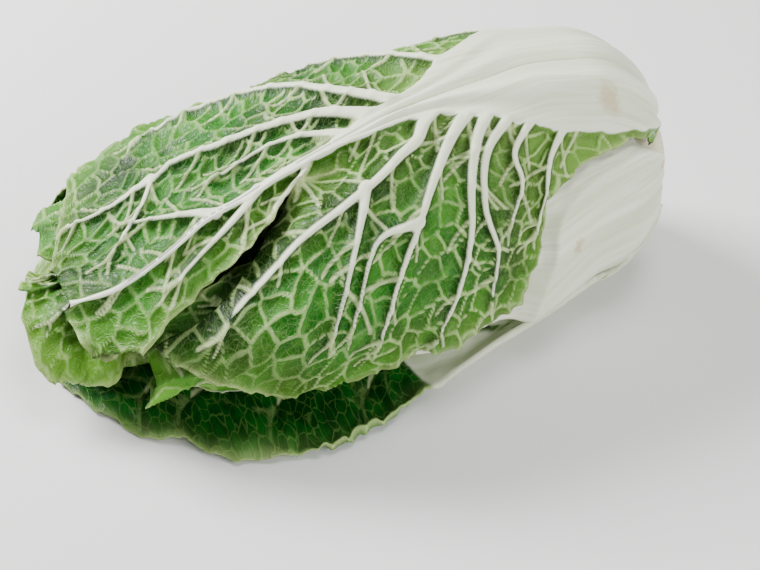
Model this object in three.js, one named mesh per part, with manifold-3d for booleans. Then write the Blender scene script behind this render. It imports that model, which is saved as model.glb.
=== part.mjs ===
// A head of napa cabbage lying on its side, in millimetres, +Z up.
// +X points to the cut butt, -X to the leaf tips, -Y to the side with the drooping lobe.
// Every leaf is drawn on the head in two numbers: a station s along the head and an angle
// around it, 0 degrees on top and growing towards -Y. A leaf is a white stalk with its side
// ribs, and a green blade that is puckered between the ribs and ruffled along its margin.
import * as THREE from 'three';
import { mergeVertices } from 'three/addons/utils/BufferGeometryUtils.js';
import ManifoldModule from 'manifold-3d';

const wasm = await ManifoldModule();
wasm.setup();
const { Manifold, Mesh } = wasm;

const CAP_START = 125;      // station where the rounded base of the head begins
const CAP_ARC = 60;         // millimetres of station for one radian of that rounding
const BLADE_THICKNESS = 1.3;
const RIB_ROOM = 2.2;       // how far a blade lies under the crown of its ribs
const RIB_GAP = 0.6;        // clear gap between a blade and the ribs on it
const LAYER_GAP = 1.3;      // clear gap between one leaf and the next
const STALK_GAP = 0.7;      // clear gap between a stalk and the half blade beside it
const GUARD = 0.3;          // what is cut off a rib where it comes too near its blade
const RUFFLE_REACH = 16;    // how far in from the margin the ruffle dies away
const PUCKER_REACH = 9;     // how far from a rib the blade has sunk in full
const FLAT_END = 150;       // past this station the rounded base would stretch a leaf's width
const CLOSED_UNDER = 8;     // how far the heart stays inside the outside form
const STEM_RADIUS = 24;
const STEM_FACE = 178;      // the cut face of the butt
const STEM_LENGTH = 38;
const STEM_SIDES = 24;
const REST_CUT = 1.2;       // what the head's own weight flattens underneath
const RAD = Math.PI / 180;

// Numbers along a line
function curve(points) {
  const p = [...points].sort((a, b) => a[0] - b[0]);
  const n = p.length;
  const slope = [];
  const step = [];
  for (let i = 0; i < n - 1; i += 1) {
    step.push(p[i + 1][0] - p[i][0]);
    slope.push((p[i + 1][1] - p[i][1]) / step[i]);
  }
  const tangent = [slope[0]];
  for (let i = 1; i < n - 1; i += 1) {
    const a = slope[i - 1];
    const b = slope[i];
    const w1 = 2 * step[i] + step[i - 1];
    const w2 = step[i] + 2 * step[i - 1];
    tangent.push(a * b <= 0 ? 0 : (w1 + w2) / (w1 / a + w2 / b));
  }
  tangent.push(slope[n - 2]);
  return (x) => {
    const c = Math.min(Math.max(x, p[0][0]), p[n - 1][0]);
    let i = 0;
    while (i < n - 2 && c > p[i + 1][0]) i += 1;
    const t = (c - p[i][0]) / step[i];
    const u = 1 - t;
    return p[i][1] * (1 + 2 * t) * u * u + step[i] * tangent[i] * t * u * u
      + p[i + 1][1] * (3 - 2 * t) * t * t - step[i] * tangent[i + 1] * t * t * u;
  };
}

const smooth = (a, b, x) => {
  const t = Math.min(Math.max((x - a) / (b - a), 0), 1);
  return t * t * (3 - 2 * t);
};

// Outside form of the head
// station, height of the axis, then the reach towards -Y, +Y, up and down
const HEAD = [
  [200, 64, 56, 57, 53, 50],
  [190, 64, 57, 58, 57, 54],
  [165, 64, 60, 63, 66, 58],
  [125, 64, 65, 68, 75, 63],
  [70, 64, 84, 76, 78, 64],
  [15, 62, 104, 84, 73, 62],
  [-45, 57, 117, 96, 63, 57],
  [-100, 48, 112, 102, 51, 48],
  [-145, 38, 94, 92, 41, 38],
  [-184, 28, 68, 68, 28, 28],
];
const [axisHeight, reachNear, reachFar, reachTop, reachBottom] = [1, 2, 3, 4, 5]
  .map((column) => curve(HEAD.map((row) => [row[0], row[column]])));

// the near side swells low down, over the stalks that lie on the surface
const belly = curve([[-25, 0], [0, 6], [20, 12.5], [39, 12.5], [57, 10], [79, 7.5], [101, 5],
  [125, 0]]);

function headRadius(s, angle) {
  const sine = Math.sin(angle * RAD);
  const cosine = Math.cos(angle * RAD);
  const across = sine >= 0 ? reachNear(s) : reachFar(s);
  const along = cosine >= 0 ? reachTop(s) : reachBottom(s);
  const power = cosine >= 0 ? (sine < 0 ? 2.3 : 2) : 3.2;
  const sum = (Math.abs(sine) / across) ** power + (Math.abs(cosine) / along) ** power;
  const round = sum ** (-1 / power);
  const swollen = round + belly(s) * smooth(82, 110, angle) * smooth(165, 140, angle);
  return cosine < 0 ? Math.min(swollen, Math.max(round, axisHeight(s) / -cosine)) : swollen;
}

const bend = (s) => Math.max(0, (s - CAP_START) / CAP_ARC);

function place(s, angle, radius) {
  const b = bend(s);
  const flat = radius * Math.cos(b);
  return [
    Math.min(s, CAP_START) + radius * Math.sin(b),
    -flat * Math.sin(angle * RAD),
    axisHeight(s) + flat * Math.cos(angle * RAD),
  ];
}

// degrees that one millimetre around the head takes at a station
const turn = (s, angle) => 1 / (headRadius(s, angle) * Math.cos(bend(s)) * RAD);

// Room left inside the leaves
const S_FIRST = -200;
const S_STEP = 4;
const S_COUNT = 106;
const A_STEP = 4;
const A_COUNT = 90;
const room = new Float64Array(S_COUNT * A_COUNT).fill(200);
const wrap = (j) => ((j % A_COUNT) + A_COUNT) % A_COUNT;

function claim(s, angle, radius) {
  const i = Math.round((s - S_FIRST) / S_STEP);
  const k = Math.min(Math.max(i, 0), S_COUNT - 1) * A_COUNT + wrap(Math.round(angle / A_STEP));
  room[k] = Math.min(room[k], radius);
}

function filtered(source, reach, join) {
  const out = new Float64Array(source.length);
  for (let i = 0; i < S_COUNT; i += 1) {
    for (let j = 0; j < A_COUNT; j += 1) {
      const seen = [];
      for (let di = -reach; di <= reach; di += 1) {
        const row = Math.min(Math.max(i + di, 0), S_COUNT - 1) * A_COUNT;
        for (let dj = -reach; dj <= reach; dj += 1) seen.push(source[row + wrap(j + dj)]);
      }
      out[i * A_COUNT + j] = join(seen);
    }
  }
  return out;
}

// the largest radius a new leaf may take under the leaves that are there already
// and over the outside form; a loose leaf may stand further off it
function ceiling(loose = 0) {
  const least = (seen) => Math.min(...seen);
  const mean = (seen) => seen.reduce((a, b) => a + b, 0) / seen.length;
  const capped = room.map((r, k) => {
    const s = S_FIRST + S_STEP * Math.floor(k / A_COUNT);
    return Math.min(r, headRadius(s, (k % A_COUNT) * A_STEP) + 3 + loose);
  });
  const grid = filtered(filtered(filtered(capped, 2, least), 1, mean), 1, mean);
  return (s, angle) => {
    const u = Math.min(Math.max((s - S_FIRST) / S_STEP, 0), S_COUNT - 1.001);
    const v = (((angle / A_STEP) % A_COUNT) + A_COUNT) % A_COUNT;
    const i = Math.floor(u);
    const j = Math.floor(v);
    const at = (a, b) => grid[a * A_COUNT + wrap(b)];
    const low = at(i, j) * (1 - v + j) + at(i, j + 1) * (v - j);
    const high = at(i + 1, j) * (1 - v + j) + at(i + 1, j + 1) * (v - j);
    return low * (1 - u + i) + high * (u - i) - LAYER_GAP;
  };
}

// Solids
class Sheet {
  constructor() {
    this.points = [];
    this.faces = [];
    this.known = new Map();
  }

  // an outer and an inner radius over one spot; the same spot is used once
  add(s, angle, outer, inner) {
    const key = `${s.toFixed(3)},${angle.toFixed(3)}`;
    if (!this.known.has(key)) {
      this.known.set(key, this.points.length);
      this.points.push({ s, angle, outer, inner });
    }
    return this.known.get(key);
  }

  quad(a, b, c, d) {
    for (const face of [[a, b, c], [a, c, d]]) {
      if (new Set(face).size === 3) this.faces.push(face);
    }
  }

  // the outer radius of the facet over a spot, or nothing beside the sheet
  radiusAt(s, angle) {
    for (const face of this.faces) {
      const [a, b, c] = face.map((k) => this.points[k]);
      const area = (b.s - a.s) * (c.angle - a.angle) - (c.s - a.s) * (b.angle - a.angle);
      const u = ((s - a.s) * (c.angle - a.angle) - (c.s - a.s) * (angle - a.angle)) / area;
      const v = ((b.s - a.s) * (angle - a.angle) - (s - a.s) * (b.angle - a.angle)) / area;
      if (u > -1e-6 && v > -1e-6 && u + v < 1 + 1e-6) {
        return a.outer + u * (b.outer - a.outer) + v * (c.outer - a.outer);
      }
    }
    return 0;
  }

  // raised and deepened, a sheet is the room that its ribs must keep out of
  solid(raised = 0, deepened = 0) {
    const n = this.points.length;
    const position = [];
    for (const p of this.points) position.push(...place(p.s, p.angle, p.outer + raised));
    for (const p of this.points) position.push(...place(p.s, p.angle, p.inner - deepened));
    const faces = [];
    const edges = new Map();
    for (const [a, b, c] of this.faces) {
      faces.push([a, b, c], [a + n, c + n, b + n]);
      for (const [p, q] of [[a, b], [b, c], [c, a]]) edges.set(`${p},${q}`, [p, q]);
    }
    for (const [p, q] of edges.values()) {
      if (!edges.has(`${q},${p}`)) faces.push([q, p, p + n], [q, p + n, q + n]);
    }
    return solidOf(position, faces);
  }
}

function solidOf(position, faces) {
  const mesh = new Mesh({
    numProp: 3,
    vertProperties: new Float32Array(position),
    triVerts: new Uint32Array(faces.flat()),
  });
  mesh.merge();
  const solid = new Manifold(mesh);
  return solid.volume() < 0 ? solidOf(position, faces.map(([a, b, c]) => [a, c, b])) : solid;
}

function solidOfGeometry(geometry) {
  const bare = new THREE.BufferGeometry();
  bare.setAttribute('position', geometry.getAttribute('position'));
  bare.setIndex(geometry.index);
  const merged = mergeVertices(bare, 1e-4);
  const faces = [];
  const { array } = merged.index;
  for (let i = 0; i < array.length; i += 3) {
    const face = [array[i], array[i + 1], array[i + 2]];
    if (new Set(face).size === 3) faces.push(face);
  }
  return solidOf([...merged.getAttribute('position').array], faces);
}

// loose crumbs are dropped
function largest(solid) {
  return solid.decompose().reduce((a, b) => (a.volume() > b.volume() ? a : b));
}

function geometryOf(solid) {
  const { numProp, vertProperties, triVerts } = solid.getMesh();
  const position = [];
  for (let i = 0; i < vertProperties.length; i += numProp) {
    position.push(vertProperties[i], vertProperties[i + 1], vertProperties[i + 2]);
  }
  const geometry = new THREE.BufferGeometry();
  geometry.setAttribute('position', new THREE.Float32BufferAttribute(position, 3));
  geometry.setIndex([...triVerts]);
  geometry.computeVertexNormals();
  return geometry;
}

// One leaf
// leaf.mid      station and angle of the midrib, base to tip
// leaf.stalk    station, half width and thickness of the white stalk
// leaf.join     station where the stalk has run out and both half blades meet
// leaf.strips   parts of the blade: rows of inner and outer ends, null meaning the stalk's edge
// leaf.ribs     side ribs: their line, width and height at the root
function makeLeaf(leaf) {
  const under = leaf.outermost ? () => Infinity : ceiling(leaf.loose);
  const mid = curve(leaf.mid);
  const halfWidth = curve(leaf.stalk.map((row) => [row[0], row[1]]));
  const thickness = curve(leaf.stalk.map((row) => [row[0], row[2]]));
  const top = (s, angle) => Math.min(leaf.form ? leaf.form(s, angle) : headRadius(s, angle),
    under(s, angle));
  const edge = (s, side) => mid(s)
    + (s > leaf.join ? side * (halfWidth(s) + STALK_GAP) * turn(s, mid(s)) : 0);

  const flat = (s, angle) => [s, angle / turn(Math.min(s, FLAT_END), mid(s))];
  const distance = (lines, s, angle) => {
    const [x, y] = flat(s, angle);
    let best = 1e9;
    for (const line of lines) {
      for (let i = 1; i < line.length; i += 1) {
        const [ax, ay] = flat(...line[i - 1]);
        const [bx, by] = flat(...line[i]);
        const length = (bx - ax) ** 2 + (by - ay) ** 2;
        const t = Math.min(Math.max(((x - ax) * (bx - ax) + (y - ay) * (by - ay)) / length, 0), 1);
        best = Math.min(best, Math.hypot(x - ax - t * (bx - ax), y - ay - t * (by - ay)));
      }
    }
    return best;
  };

  const margins = leaf.strips.map((strip) => strip.rows.slice(strip.free || 0)
    .map((row) => [row[2], row[3]]));
  if (leaf.slit) margins.push(leaf.slit);
  const ribLines = leaf.ribs.map((rib) => rib.line);
  ribLines.push(leaf.mid);

  // smooth form with the ruffle of the margin, where ribs lie
  const ruffled = (s, angle) => {
    const near = Math.exp(-distance(margins, s, angle) / RUFFLE_REACH);
    const [x, y] = flat(s, angle);
    const wave = 0.6 * Math.sin(x / 7.1 + y / 19 + leaf.phase)
      + 0.4 * Math.sin(x / 4.3 - y / 11 + 2 * leaf.phase);
    return top(s, angle) - RIB_ROOM - leaf.ruffle * near * (0.5 + 0.5 * wave)
      - (leaf.sink ? leaf.sink(s, angle) : 0);
  };
  // the blade sinks between its ribs
  const puckered = (s, angle) => {
    const away = distance(ribLines, s, angle);
    return ruffled(s, angle) - leaf.pucker * (1 - Math.exp(-((away / PUCKER_REACH) ** 2)));
  };

  // one end of a row; without an angle of its own it follows the stalk
  const endAngle = (strip, a, b, k, s, t) => {
    if (a[k + 1] === null && b[k + 1] === null) return edge(s, strip.side);
    const from = a[k + 1] === null ? edge(a[k], strip.side) : a[k + 1];
    const to = b[k + 1] === null ? edge(b[k], strip.side) : b[k + 1];
    return from + (to - from) * t;
  };

  const blade = new Sheet();
  for (const strip of leaf.strips) {
    const rows = [];
    for (let k = 0; k < strip.rows.length; k += 1) {
      const last = k === strip.rows.length - 1;
      for (let m = 0; m < (last ? 1 : strip.split[k % strip.split.length]); m += 1) {
        const t = m / strip.split[k % strip.split.length];
        const [a, b] = [strip.rows[k], strip.rows[last ? k : k + 1]];
        const s0 = a[0] + (b[0] - a[0]) * t;
        const s1 = a[2] + (b[2] - a[2]) * t;
        const inner = endAngle(strip, a, b, 0, s0, t);
        const outer = endAngle(strip, a, b, 2, s1, t);
        rows.push([s0, inner, s1, outer, rows.length]);
      }
    }
    const index = rows.map(([s0, a0, s1, a1, r]) => {
      const line = [];
      for (let c = 0; c <= strip.columns; c += 1) {
        const v = (c / strip.columns) ** 0.9;
        // small scallops of the margin
        const cut = c === strip.columns && r > (strip.scallopFrom || 0)
          ? leaf.scallop * Math.sin(2.1 * r + leaf.phase) : 0;
        const s = s0 + (s1 - s0) * v;
        const along = a0 + (a1 - a0) * v;
        const angle = along + cut * turn(Math.min(s, FLAT_END), a1) * strip.side;
        const outer = puckered(s, angle);
        line.push(blade.add(s, angle, outer, outer - BLADE_THICKNESS));
      }
      return line;
    });
    for (let i = 1; i < index.length; i += 1) {
      for (let c = 0; c < strip.columns; c += 1) {
        const [a, b, d, e] = [index[i - 1][c], index[i - 1][c + 1], index[i][c + 1], index[i][c]];
        if (strip.side > 0) blade.quad(a, b, d, e);
        else blade.quad(a, e, d, b);
        fill([a, b, d, e].map((k) => blade.points[k]));
      }
    }
  }

  const parts = [stalkOf(leaf, { mid, halfWidth, thickness, top })];
  const tip = leaf.mid[leaf.mid.length - 1][0] + 4;
  const steps = Math.ceil((leaf.join + 20 - tip) / 12);
  const midrib = [...Array(steps + 1).keys()]
    .map((k) => leaf.join + 20 + ((tip - leaf.join - 20) * k) / steps);
  const ribs = [{ line: midrib.map((s) => [s, mid(s)]), width: leaf.midWidth, height: 2.4,
    end: 0.4 }, ...leaf.ribs];
  const ribFloor = (s, angle) => Math.max(ruffled(s, angle) + RIB_GAP,
    blade.radiusAt(s, angle) + 0.5);
  for (const rib of ribs) parts.push(ribOf(rib, ribFloor, leaf.ribStep));
  const kept = Manifold.union(parts).subtract(blade.solid(GUARD, BLADE_THICKNESS + RIB_ROOM));
  return { blade: blade.solid(), ribs: largest(kept) };
}

// marks the room that one facet of a leaf has taken
function fill(corners) {
  for (let a = 0; a <= 4; a += 1) {
    for (let b = 0; b <= 4; b += 1) {
      const [u, v] = [a / 4, b / 4];
      const mix = (key) => (corners[0][key] * (1 - u) + corners[1][key] * u) * (1 - v)
        + (corners[3][key] * (1 - u) + corners[2][key] * u) * v;
      claim(mix('s'), mix('angle'), mix('inner'));
    }
  }
}

// the white stalk: thick at the base, with broad soft grooves, thinning towards the tip
function stalkOf(leaf, { mid, halfWidth, thickness, top }) {
  const sheet = new Sheet();
  const stations = [];
  const first = leaf.stalk[0][0];
  for (let s = first; s > leaf.join + 6; s -= s > 110 ? 10 : 15) stations.push(s);
  stations.push(leaf.join + 2);
  const columns = leaf.stalkColumns || 6;
  const rows = stations.map((s) => {
    const line = [];
    for (let c = 0; c <= columns; c += 1) {
      const w = (2 * c) / columns - 1;
      const angle = mid(s) + w * halfWidth(s) * turn(s, mid(s));
      const fade = smooth(leaf.join, leaf.join + 50, s);
      const groove = 0.7 * fade * Math.cos(w * 9.4 + leaf.phase) + 0.7 * fade;
      const outer = top(s, angle) - groove - 1.3 * w ** 4 * fade;
      const inner = outer - thickness(s) * (1 - 0.35 * w * w);
      line.push(sheet.add(s, angle, outer, inner));
    }
    return line;
  });
  for (let i = 1; i < rows.length; i += 1) {
    for (let c = 0; c < columns; c += 1) {
      const ring = [rows[i - 1][c], rows[i - 1][c + 1], rows[i][c + 1], rows[i][c]];
      sheet.quad(...ring);
      fill(ring.map((k) => sheet.points[k]));
    }
  }
  return sheet.solid();
}

// a rib is a low ridge that tapers along its line
function ribOf(rib, floor, step = 17) {
  const samples = [];
  for (let i = 1; i < rib.line.length; i += 1) {
    const [a, b] = [rib.line[i - 1], rib.line[i]];
    const length = Math.hypot(b[0] - a[0], (b[1] - a[1]) * 1.4);
    const n = Math.max(1, Math.round(length / step));
    for (let k = i === 1 ? 0 : 1; k <= n; k += 1) {
      samples.push([a[0] + ((b[0] - a[0]) * k) / n, a[1] + ((b[1] - a[1]) * k) / n]);
    }
  }
  const position = [];
  const faces = [];
  const last = samples.length - 1;
  samples.forEach(([s, angle], i) => {
    const [p, q] = [samples[Math.max(i - 1, 0)], samples[Math.min(i + 1, last)]];
    const scale = turn(Math.min(s, FLAT_END), angle);
    const dx = q[0] - p[0];
    const dy = (q[1] - p[1]) / scale;
    const length = Math.hypot(dx, dy);
    const taper = 1 - (1 - (rib.end || 0.3)) * (i / last);
    const half = (rib.width / 2) * taper;
    const height = rib.height * (0.25 + 0.75 * taper);
    for (const [across, up] of [[-1, 0], [-0.45, 1], [0.45, 1], [1, 0]]) {
      const s1 = s - (dy / length) * across * half;
      const a1 = angle + (dx / length) * across * half * scale;
      position.push(...place(s1, a1, floor(s1, a1) + up * height));
    }
  });
  for (let i = 0; i < last; i += 1) {
    for (let c = 0; c < 4; c += 1) {
      const d = (c + 1) % 4;
      const [a, b] = [4 * i + c, 4 * i + d];
      faces.push([a, b, b + 4], [a, b + 4, a + 4]);
    }
  }
  faces.push([0, 2, 1], [0, 3, 2]);
  const e = 4 * last;
  faces.push([e, e + 1, e + 2], [e, e + 2, e + 3]);
  return solidOf(position, faces);
}

// The leaves of this head
// The outermost leaf lies underneath; its near half has flopped out on the surface.
const flopReach = curve([[125, 64], [62, 80], [20, 106], [-17, 126], [-51, 138], [-75, 136],
  [-104, 127], [-130, 110], [-150, 88], [-170, 64]]);
const bottomLeaf = {
  name: 'bottom_leaf',
  outermost: true,
  phase: 0.4,
  ruffle: 3.4,
  pucker: 2.0,
  scallop: 1.6,
  join: -60,
  midWidth: 6,
  form: (s, angle) => {
    const round = headRadius(s, angle);
    if (angle < 90 || angle > 176) return round;
    const onTable = (axisHeight(s) - 0.8) / -Math.cos(angle * RAD);
    const flopped = Math.min(onTable, flopReach(s) / Math.sin(angle * RAD));
    const share = smooth(176, 150, angle) * smooth(45, -5, s);
    return round + share * Math.max(0, flopped - round);
  },
  mid: [[184, 165], [100, 163], [20, 159], [-60, 150], [-120, 146], [-168, 146]],
  stalk: [[184, 20, 6], [165, 27, 7], [125, 33, 7], [90, 34, 6.5], [40, 26, 5], [0, 14, 4],
    [-30, 8, 3], [-46, 5, 1.4], [-60, 3, 1.4]],
  strips: [
    {
      side: -1,
      columns: 6,
      split: [2, 3, 3, 3, 3, 4, 3, 3, 3, 2],
      rows: [[118, null, 117, 128], [95, null, 88, 128], [60, null, 50, 125], [30, null, 12, 119],
        [0, null, -18, 113.8], [-34, null, -50, 111.6], [-60, null, -76, 111.2],
        [-90, null, -106, 111.5], [-120, null, -134, 113], [-148, null, -156, 117],
        [-166, null, -170, 130]],
    },
    {
      side: 1,
      columns: 3,
      split: [2, 2, 2, 2, 2, 2, 3, 3, 3, 2],
      rows: [[118, null, 117, 200], [95, null, 88, 207], [60, null, 50, 212], [30, null, 14, 214],
        [0, null, -18, 216], [-34, null, -50, 218], [-60, null, -80, 216], [-90, null, -112, 208],
        [-120, null, -140, 196], [-148, null, -158, 184], [-166, null, -170, 160]],
    },
  ],
  ribs: [
    { line: [[30, 145], [0, 132], [-20, 122]], width: 4.5, height: 1.4 },
    { line: [[-14, 146], [-44, 132], [-70, 120]], width: 4.5, height: 1.4 },
    { line: [[-50, 149], [-86, 134], [-112, 122]], width: 4, height: 1.2 },
    { line: [[30, 167], [-4, 184], [-30, 200]], width: 4.5, height: 1.4 },
    { line: [[-30, 155], [-66, 176], [-90, 192]], width: 4, height: 1.2 },
  ],
};

const backLowLeaf = {
  name: 'back_low_leaf',
  phase: 1.9,
  ruffle: 3.6,
  pucker: 2.0,
  scallop: 1.8,
  join: -50,
  midWidth: 5,
  mid: [[183, -128], [100, -126], [0, -122], [-80, -116], [-158, -112]],
  stalk: [[183, 22, 6], [165, 30, 7], [125, 38, 7], [90, 36, 6.5], [40, 24, 5], [0, 12, 4],
    [-24, 7, 3], [-38, 5, 1.4], [-50, 3, 1.4]],
  strips: [
    {
      side: 1,
      columns: 4,
      split: [3, 3, 3, 2, 3, 3, 2],
      rows: [[120, null, 114, -86], [85, null, 72, -80], [40, null, 22, -76], [0, null, -22, -74],
        [-50, null, -72, -72], [-90, null, -112, -70], [-130, null, -146, -78],
        [-156, null, -160, -98]],
    },
    {
      side: -1,
      columns: 3,
      split: [3, 3, 3, 2, 3, 3, 2],
      rows: [[120, null, 114, -166], [85, null, 72, -170], [40, null, 22, -172],
        [0, null, -22, -172], [-50, null, -72, -168], [-90, null, -112, -160],
        [-130, null, -146, -146], [-156, null, -160, -126]],
    },
  ],
  ribs: [
    { line: [[50, -112], [20, -96], [-6, -84]], width: 4.5, height: 1.7 },
    { line: [[0, -120], [-36, -100], [-62, -84]], width: 4.5, height: 1.7 },
    { line: [[-50, -118], [-84, -98], [-108, -80]], width: 4, height: 1.5 },
    { line: [[30, -134], [0, -148], [-28, -160]], width: 4, height: 1.5 },
    { line: [[-40, -119], [-74, -136], [-98, -150]], width: 4, height: 1.5 },
  ],
};

// The leaf on top: its far half wraps over the back, its near half hangs down as a lobe, and
// a slit parts that lobe from the tip.
const slitLow = [[-41, 38], [-73, 63], [-100, 75], [-127, 81]];
const slitAngle = curve(slitLow);
const topLeaf = {
  name: 'top_leaf',
  outermost: true,
  form: (s, angle) => headRadius(s, angle) + 1.5,
  ribStep: 12,
  stalkColumns: 9,
  phase: 0,
  ruffle: 4.2,
  pucker: 2.4,
  scallop: 2.2,
  join: -20,
  midWidth: 7,
  sink: (s, angle) => (angle < slitAngle(s) - 2 ? 0 : 14 * smooth(-36, -64, s)
    * Math.exp(-(angle - slitAngle(s)) / 9)),
  slit: slitLow,
  mid: [[184, 9], [102, 6], [64, 12], [19, 16], [-9, 22], [-29, 26], [-49, 30], [-70, 35],
    [-89, 38], [-104, 44], [-118, 49], [-146, 55], [-166, 54]],
  stalk: [[184, 24, 6], [165, 34, 7], [125, 44, 7.5], [99, 43.5, 7], [77, 32, 6], [57, 20, 5],
    [29, 9.5, 4], [0, 6, 3], [-8, 4.6, 1.4], [-20, 3, 1.4]],
  strips: [
    {
      side: -1,
      columns: 8,
      split: [3, 3, 3, 3, 5, 2, 2, 2, 2, 2, 2, 2, 2],
      rows: [[138, null, 136, -42], [110, null, 104, -56], [80, null, 68, -63],
        [50, null, 34, -66], [20, null, 0, -64], [-20, null, -46, -61], [-41, null, -68, -62],
        [-60, null, -88, -65], [-80, null, -110, -66], [-100, null, -128, -66],
        [-118, null, -142, -62], [-135, null, -152, -48], [-150, null, -159, -24],
        [-163, null, -165, 12]],
    },
    {
      side: 1,
      columns: 5,
      free: 2,
      scallopFrom: 9,
      split: [5, 4, 2, 2, 2, 2, 2, 2, 2, 2],
      rows: [[29, null, 29, null], [-10, null, -10, 30], [-20, null, -20, 32.6],
        [-41, null, -41, 38], [-60, null, -61, 48], [-80, null, -86, 60], [-100, null, -112, 69],
        [-118, null, -132, 78], [-135, null, -151, 84], [-150, null, -161, 74],
        [-163, null, -166, 62]],
    },
    {
      side: 1,
      columns: 9,
      split: [3, 3, 3, 3, 4, 5, 4, 2, 4, 4, 4],
      rows: [[152, null, 152, 46], [124, null, 116, 53], [99, null, 87, 70], [77, null, 82, 86],
        [57, null, 64, 107], [29, null, 30, 110], [-10, 30, -2, 108], [-20, 32.6, -14, 108],
        [-41, 38, -34, 108], [-73, 63, -64, 105], [-100, 75, -90, 95], [-127, 81, -121, 86]],
    },
  ],
  ribs: [
    { line: [[26, 15], [13, 6], [-9, -12], [-29, -31], [-65, -47], [-106, -50]], width: 7, height: 2.2 },
    { line: [[4, 17], [-15, 4], [-33, -1], [-67, -7], [-96, -13], [-117, 10], [-138, 36]],
      width: 8, height: 2.4 },
    { line: [[-9, 21], [-31, 12], [-50, 10], [-80, 14]], width: 4, height: 1.5 },
    { line: [[62, 2], [34, -20], [4, -42]], width: 5.5, height: 2 },
    { line: [[98, -22], [76, -38], [54, -52]], width: 5.5, height: 2 },
    { line: [[-62, 33], [-74, 41], [-94, 51], [-114, 60]], width: 4, height: 1.6 },
    { line: [[-84, 37], [-104, 28], [-126, 16]], width: 4, height: 1.6 },
    { line: [[-34, 27], [-42, 37], [-59, 45]], width: 3.5, height: 1.4 },
    { line: [[42, 18], [29, 25], [21, 33], [-2, 43], [-23, 50], [-48, 57], [-71, 70], [-96, 80]],
      width: 9, height: 2.6, end: 0.25 },
    { line: [[-12, 46], [-17, 54], [-32, 70], [-46, 84]], width: 4.5, height: 1.7 },
    { line: [[58, 22], [41, 33], [25, 47], [9, 62], [-8, 76], [-22, 92]], width: 8.5, height: 2.5 },
    { line: [[10, 61], [-15, 64], [-36, 84]], width: 3.5, height: 1.5 },
    { line: [[66, 24], [52, 37], [42, 53], [36, 70], [24, 88], [10, 98]], width: 7.5, height: 2.4 },
    { line: [[78, 27], [55, 43], [47, 62], [52, 79], [46, 96]], width: 6, height: 2.2 },
    { line: [[86, 32], [70, 45], [71, 57], [60, 72]], width: 4.5, height: 1.8 },
    { line: [[104, 36], [90, 50], [84, 64], [76, 78]], width: 4, height: 1.5 },
  ],
};

const backLeaf = {
  name: 'back_leaf',
  phase: 2.7,
  ruffle: 3.2,
  pucker: 1.8,
  scallop: 1.8,
  join: -50,
  midWidth: 5,
  mid: [[182, -68], [100, -72], [0, -74], [-80, -66], [-168, -56]],
  stalk: [[182, 20, 5], [165, 28, 6], [125, 34, 6.5], [90, 32, 6], [40, 22, 5], [0, 12, 4],
    [-24, 7, 3], [-38, 5, 1.4], [-50, 3, 1.4]],
  strips: [
    {
      side: 1,
      columns: 4,
      split: [3, 3, 3, 2, 3, 3, 2],
      rows: [[125, null, 118, -30], [85, null, 74, -26], [40, null, 24, -24], [0, null, -22, -22],
        [-50, null, -72, -20], [-90, null, -112, -18], [-130, null, -150, -22],
        [-164, null, -168, -40]],
    },
    {
      side: -1,
      columns: 4,
      split: [3, 3, 3, 2, 3, 3, 2],
      rows: [[125, null, 118, -108], [85, null, 74, -114], [40, null, 24, -118],
        [0, null, -22, -118], [-50, null, -72, -112], [-90, null, -112, -104],
        [-130, null, -150, -92], [-164, null, -168, -72]],
    },
  ],
  ribs: [
    { line: [[50, -62], [20, -46], [-6, -34]], width: 4.5, height: 1.5 },
    { line: [[-40, -70], [-74, -50], [-98, -34]], width: 4, height: 1.5 },
    { line: [[50, -84], [20, -98], [-6, -110]], width: 4.5, height: 1.5 },
    { line: [[-30, -74], [-64, -90], [-92, -102]], width: 4, height: 1.5 },
  ],
};

// the tip of this one stands off the head as a flap
const sideLeaf = {
  name: 'side_leaf',
  loose: 20,
  form: (s, angle) => headRadius(s, angle) + 20 * smooth(-84, -126, s) * smooth(84, 104, angle),
  phase: 3.6,
  ruffle: 3.0,
  pucker: 1.8,
  scallop: 1.8,
  join: -60,
  midWidth: 5,
  mid: [[183, 82], [140, 83], [100, 90], [60, 98], [20, 104], [-60, 98], [-131, 94]],
  stalk: [[183, 23, 6], [165, 36, 7], [140, 46, 7.5], [110, 49, 7], [80, 46, 6], [40, 36, 5],
    [0, 17, 4], [-34, 8, 3], [-48, 5, 1.4], [-60, 3, 1.4]],
  strips: [
    {
      side: -1,
      columns: 4,
      split: [3, 3, 3, 3, 3, 3, 2],
      rows: [[110, null, 106, 38], [80, null, 70, 48], [40, null, 26, 58], [0, null, -20, 62],
        [-60, null, -74, 66], [-90, null, -104, 70], [-114, null, -124, 76],
        [-129, null, -132, 84]],
    },
    {
      side: 1,
      columns: 3,
      split: [3, 3, 3, 3, 3, 3, 2],
      rows: [[110, null, 106, 138], [80, null, 70, 138], [40, null, 26, 133], [0, null, -20, 123],
        [-60, null, -74, 113], [-90, null, -104, 111], [-114, null, -126, 110],
        [-129, null, -136, 100]],
    },
  ],
  ribs: [
    { line: [[30, 92], [6, 80], [-16, 70]], width: 4.5, height: 1.5 },
    { line: [[-40, 98], [-70, 84], [-92, 76]], width: 4, height: 1.5 },
    { line: [[14, 108], [-4, 114], [-22, 120]], width: 4, height: 1.4 },
    { line: [[-60, 98], [-84, 104], [-102, 108]], width: 4, height: 1.4 },
  ],
};

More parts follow.
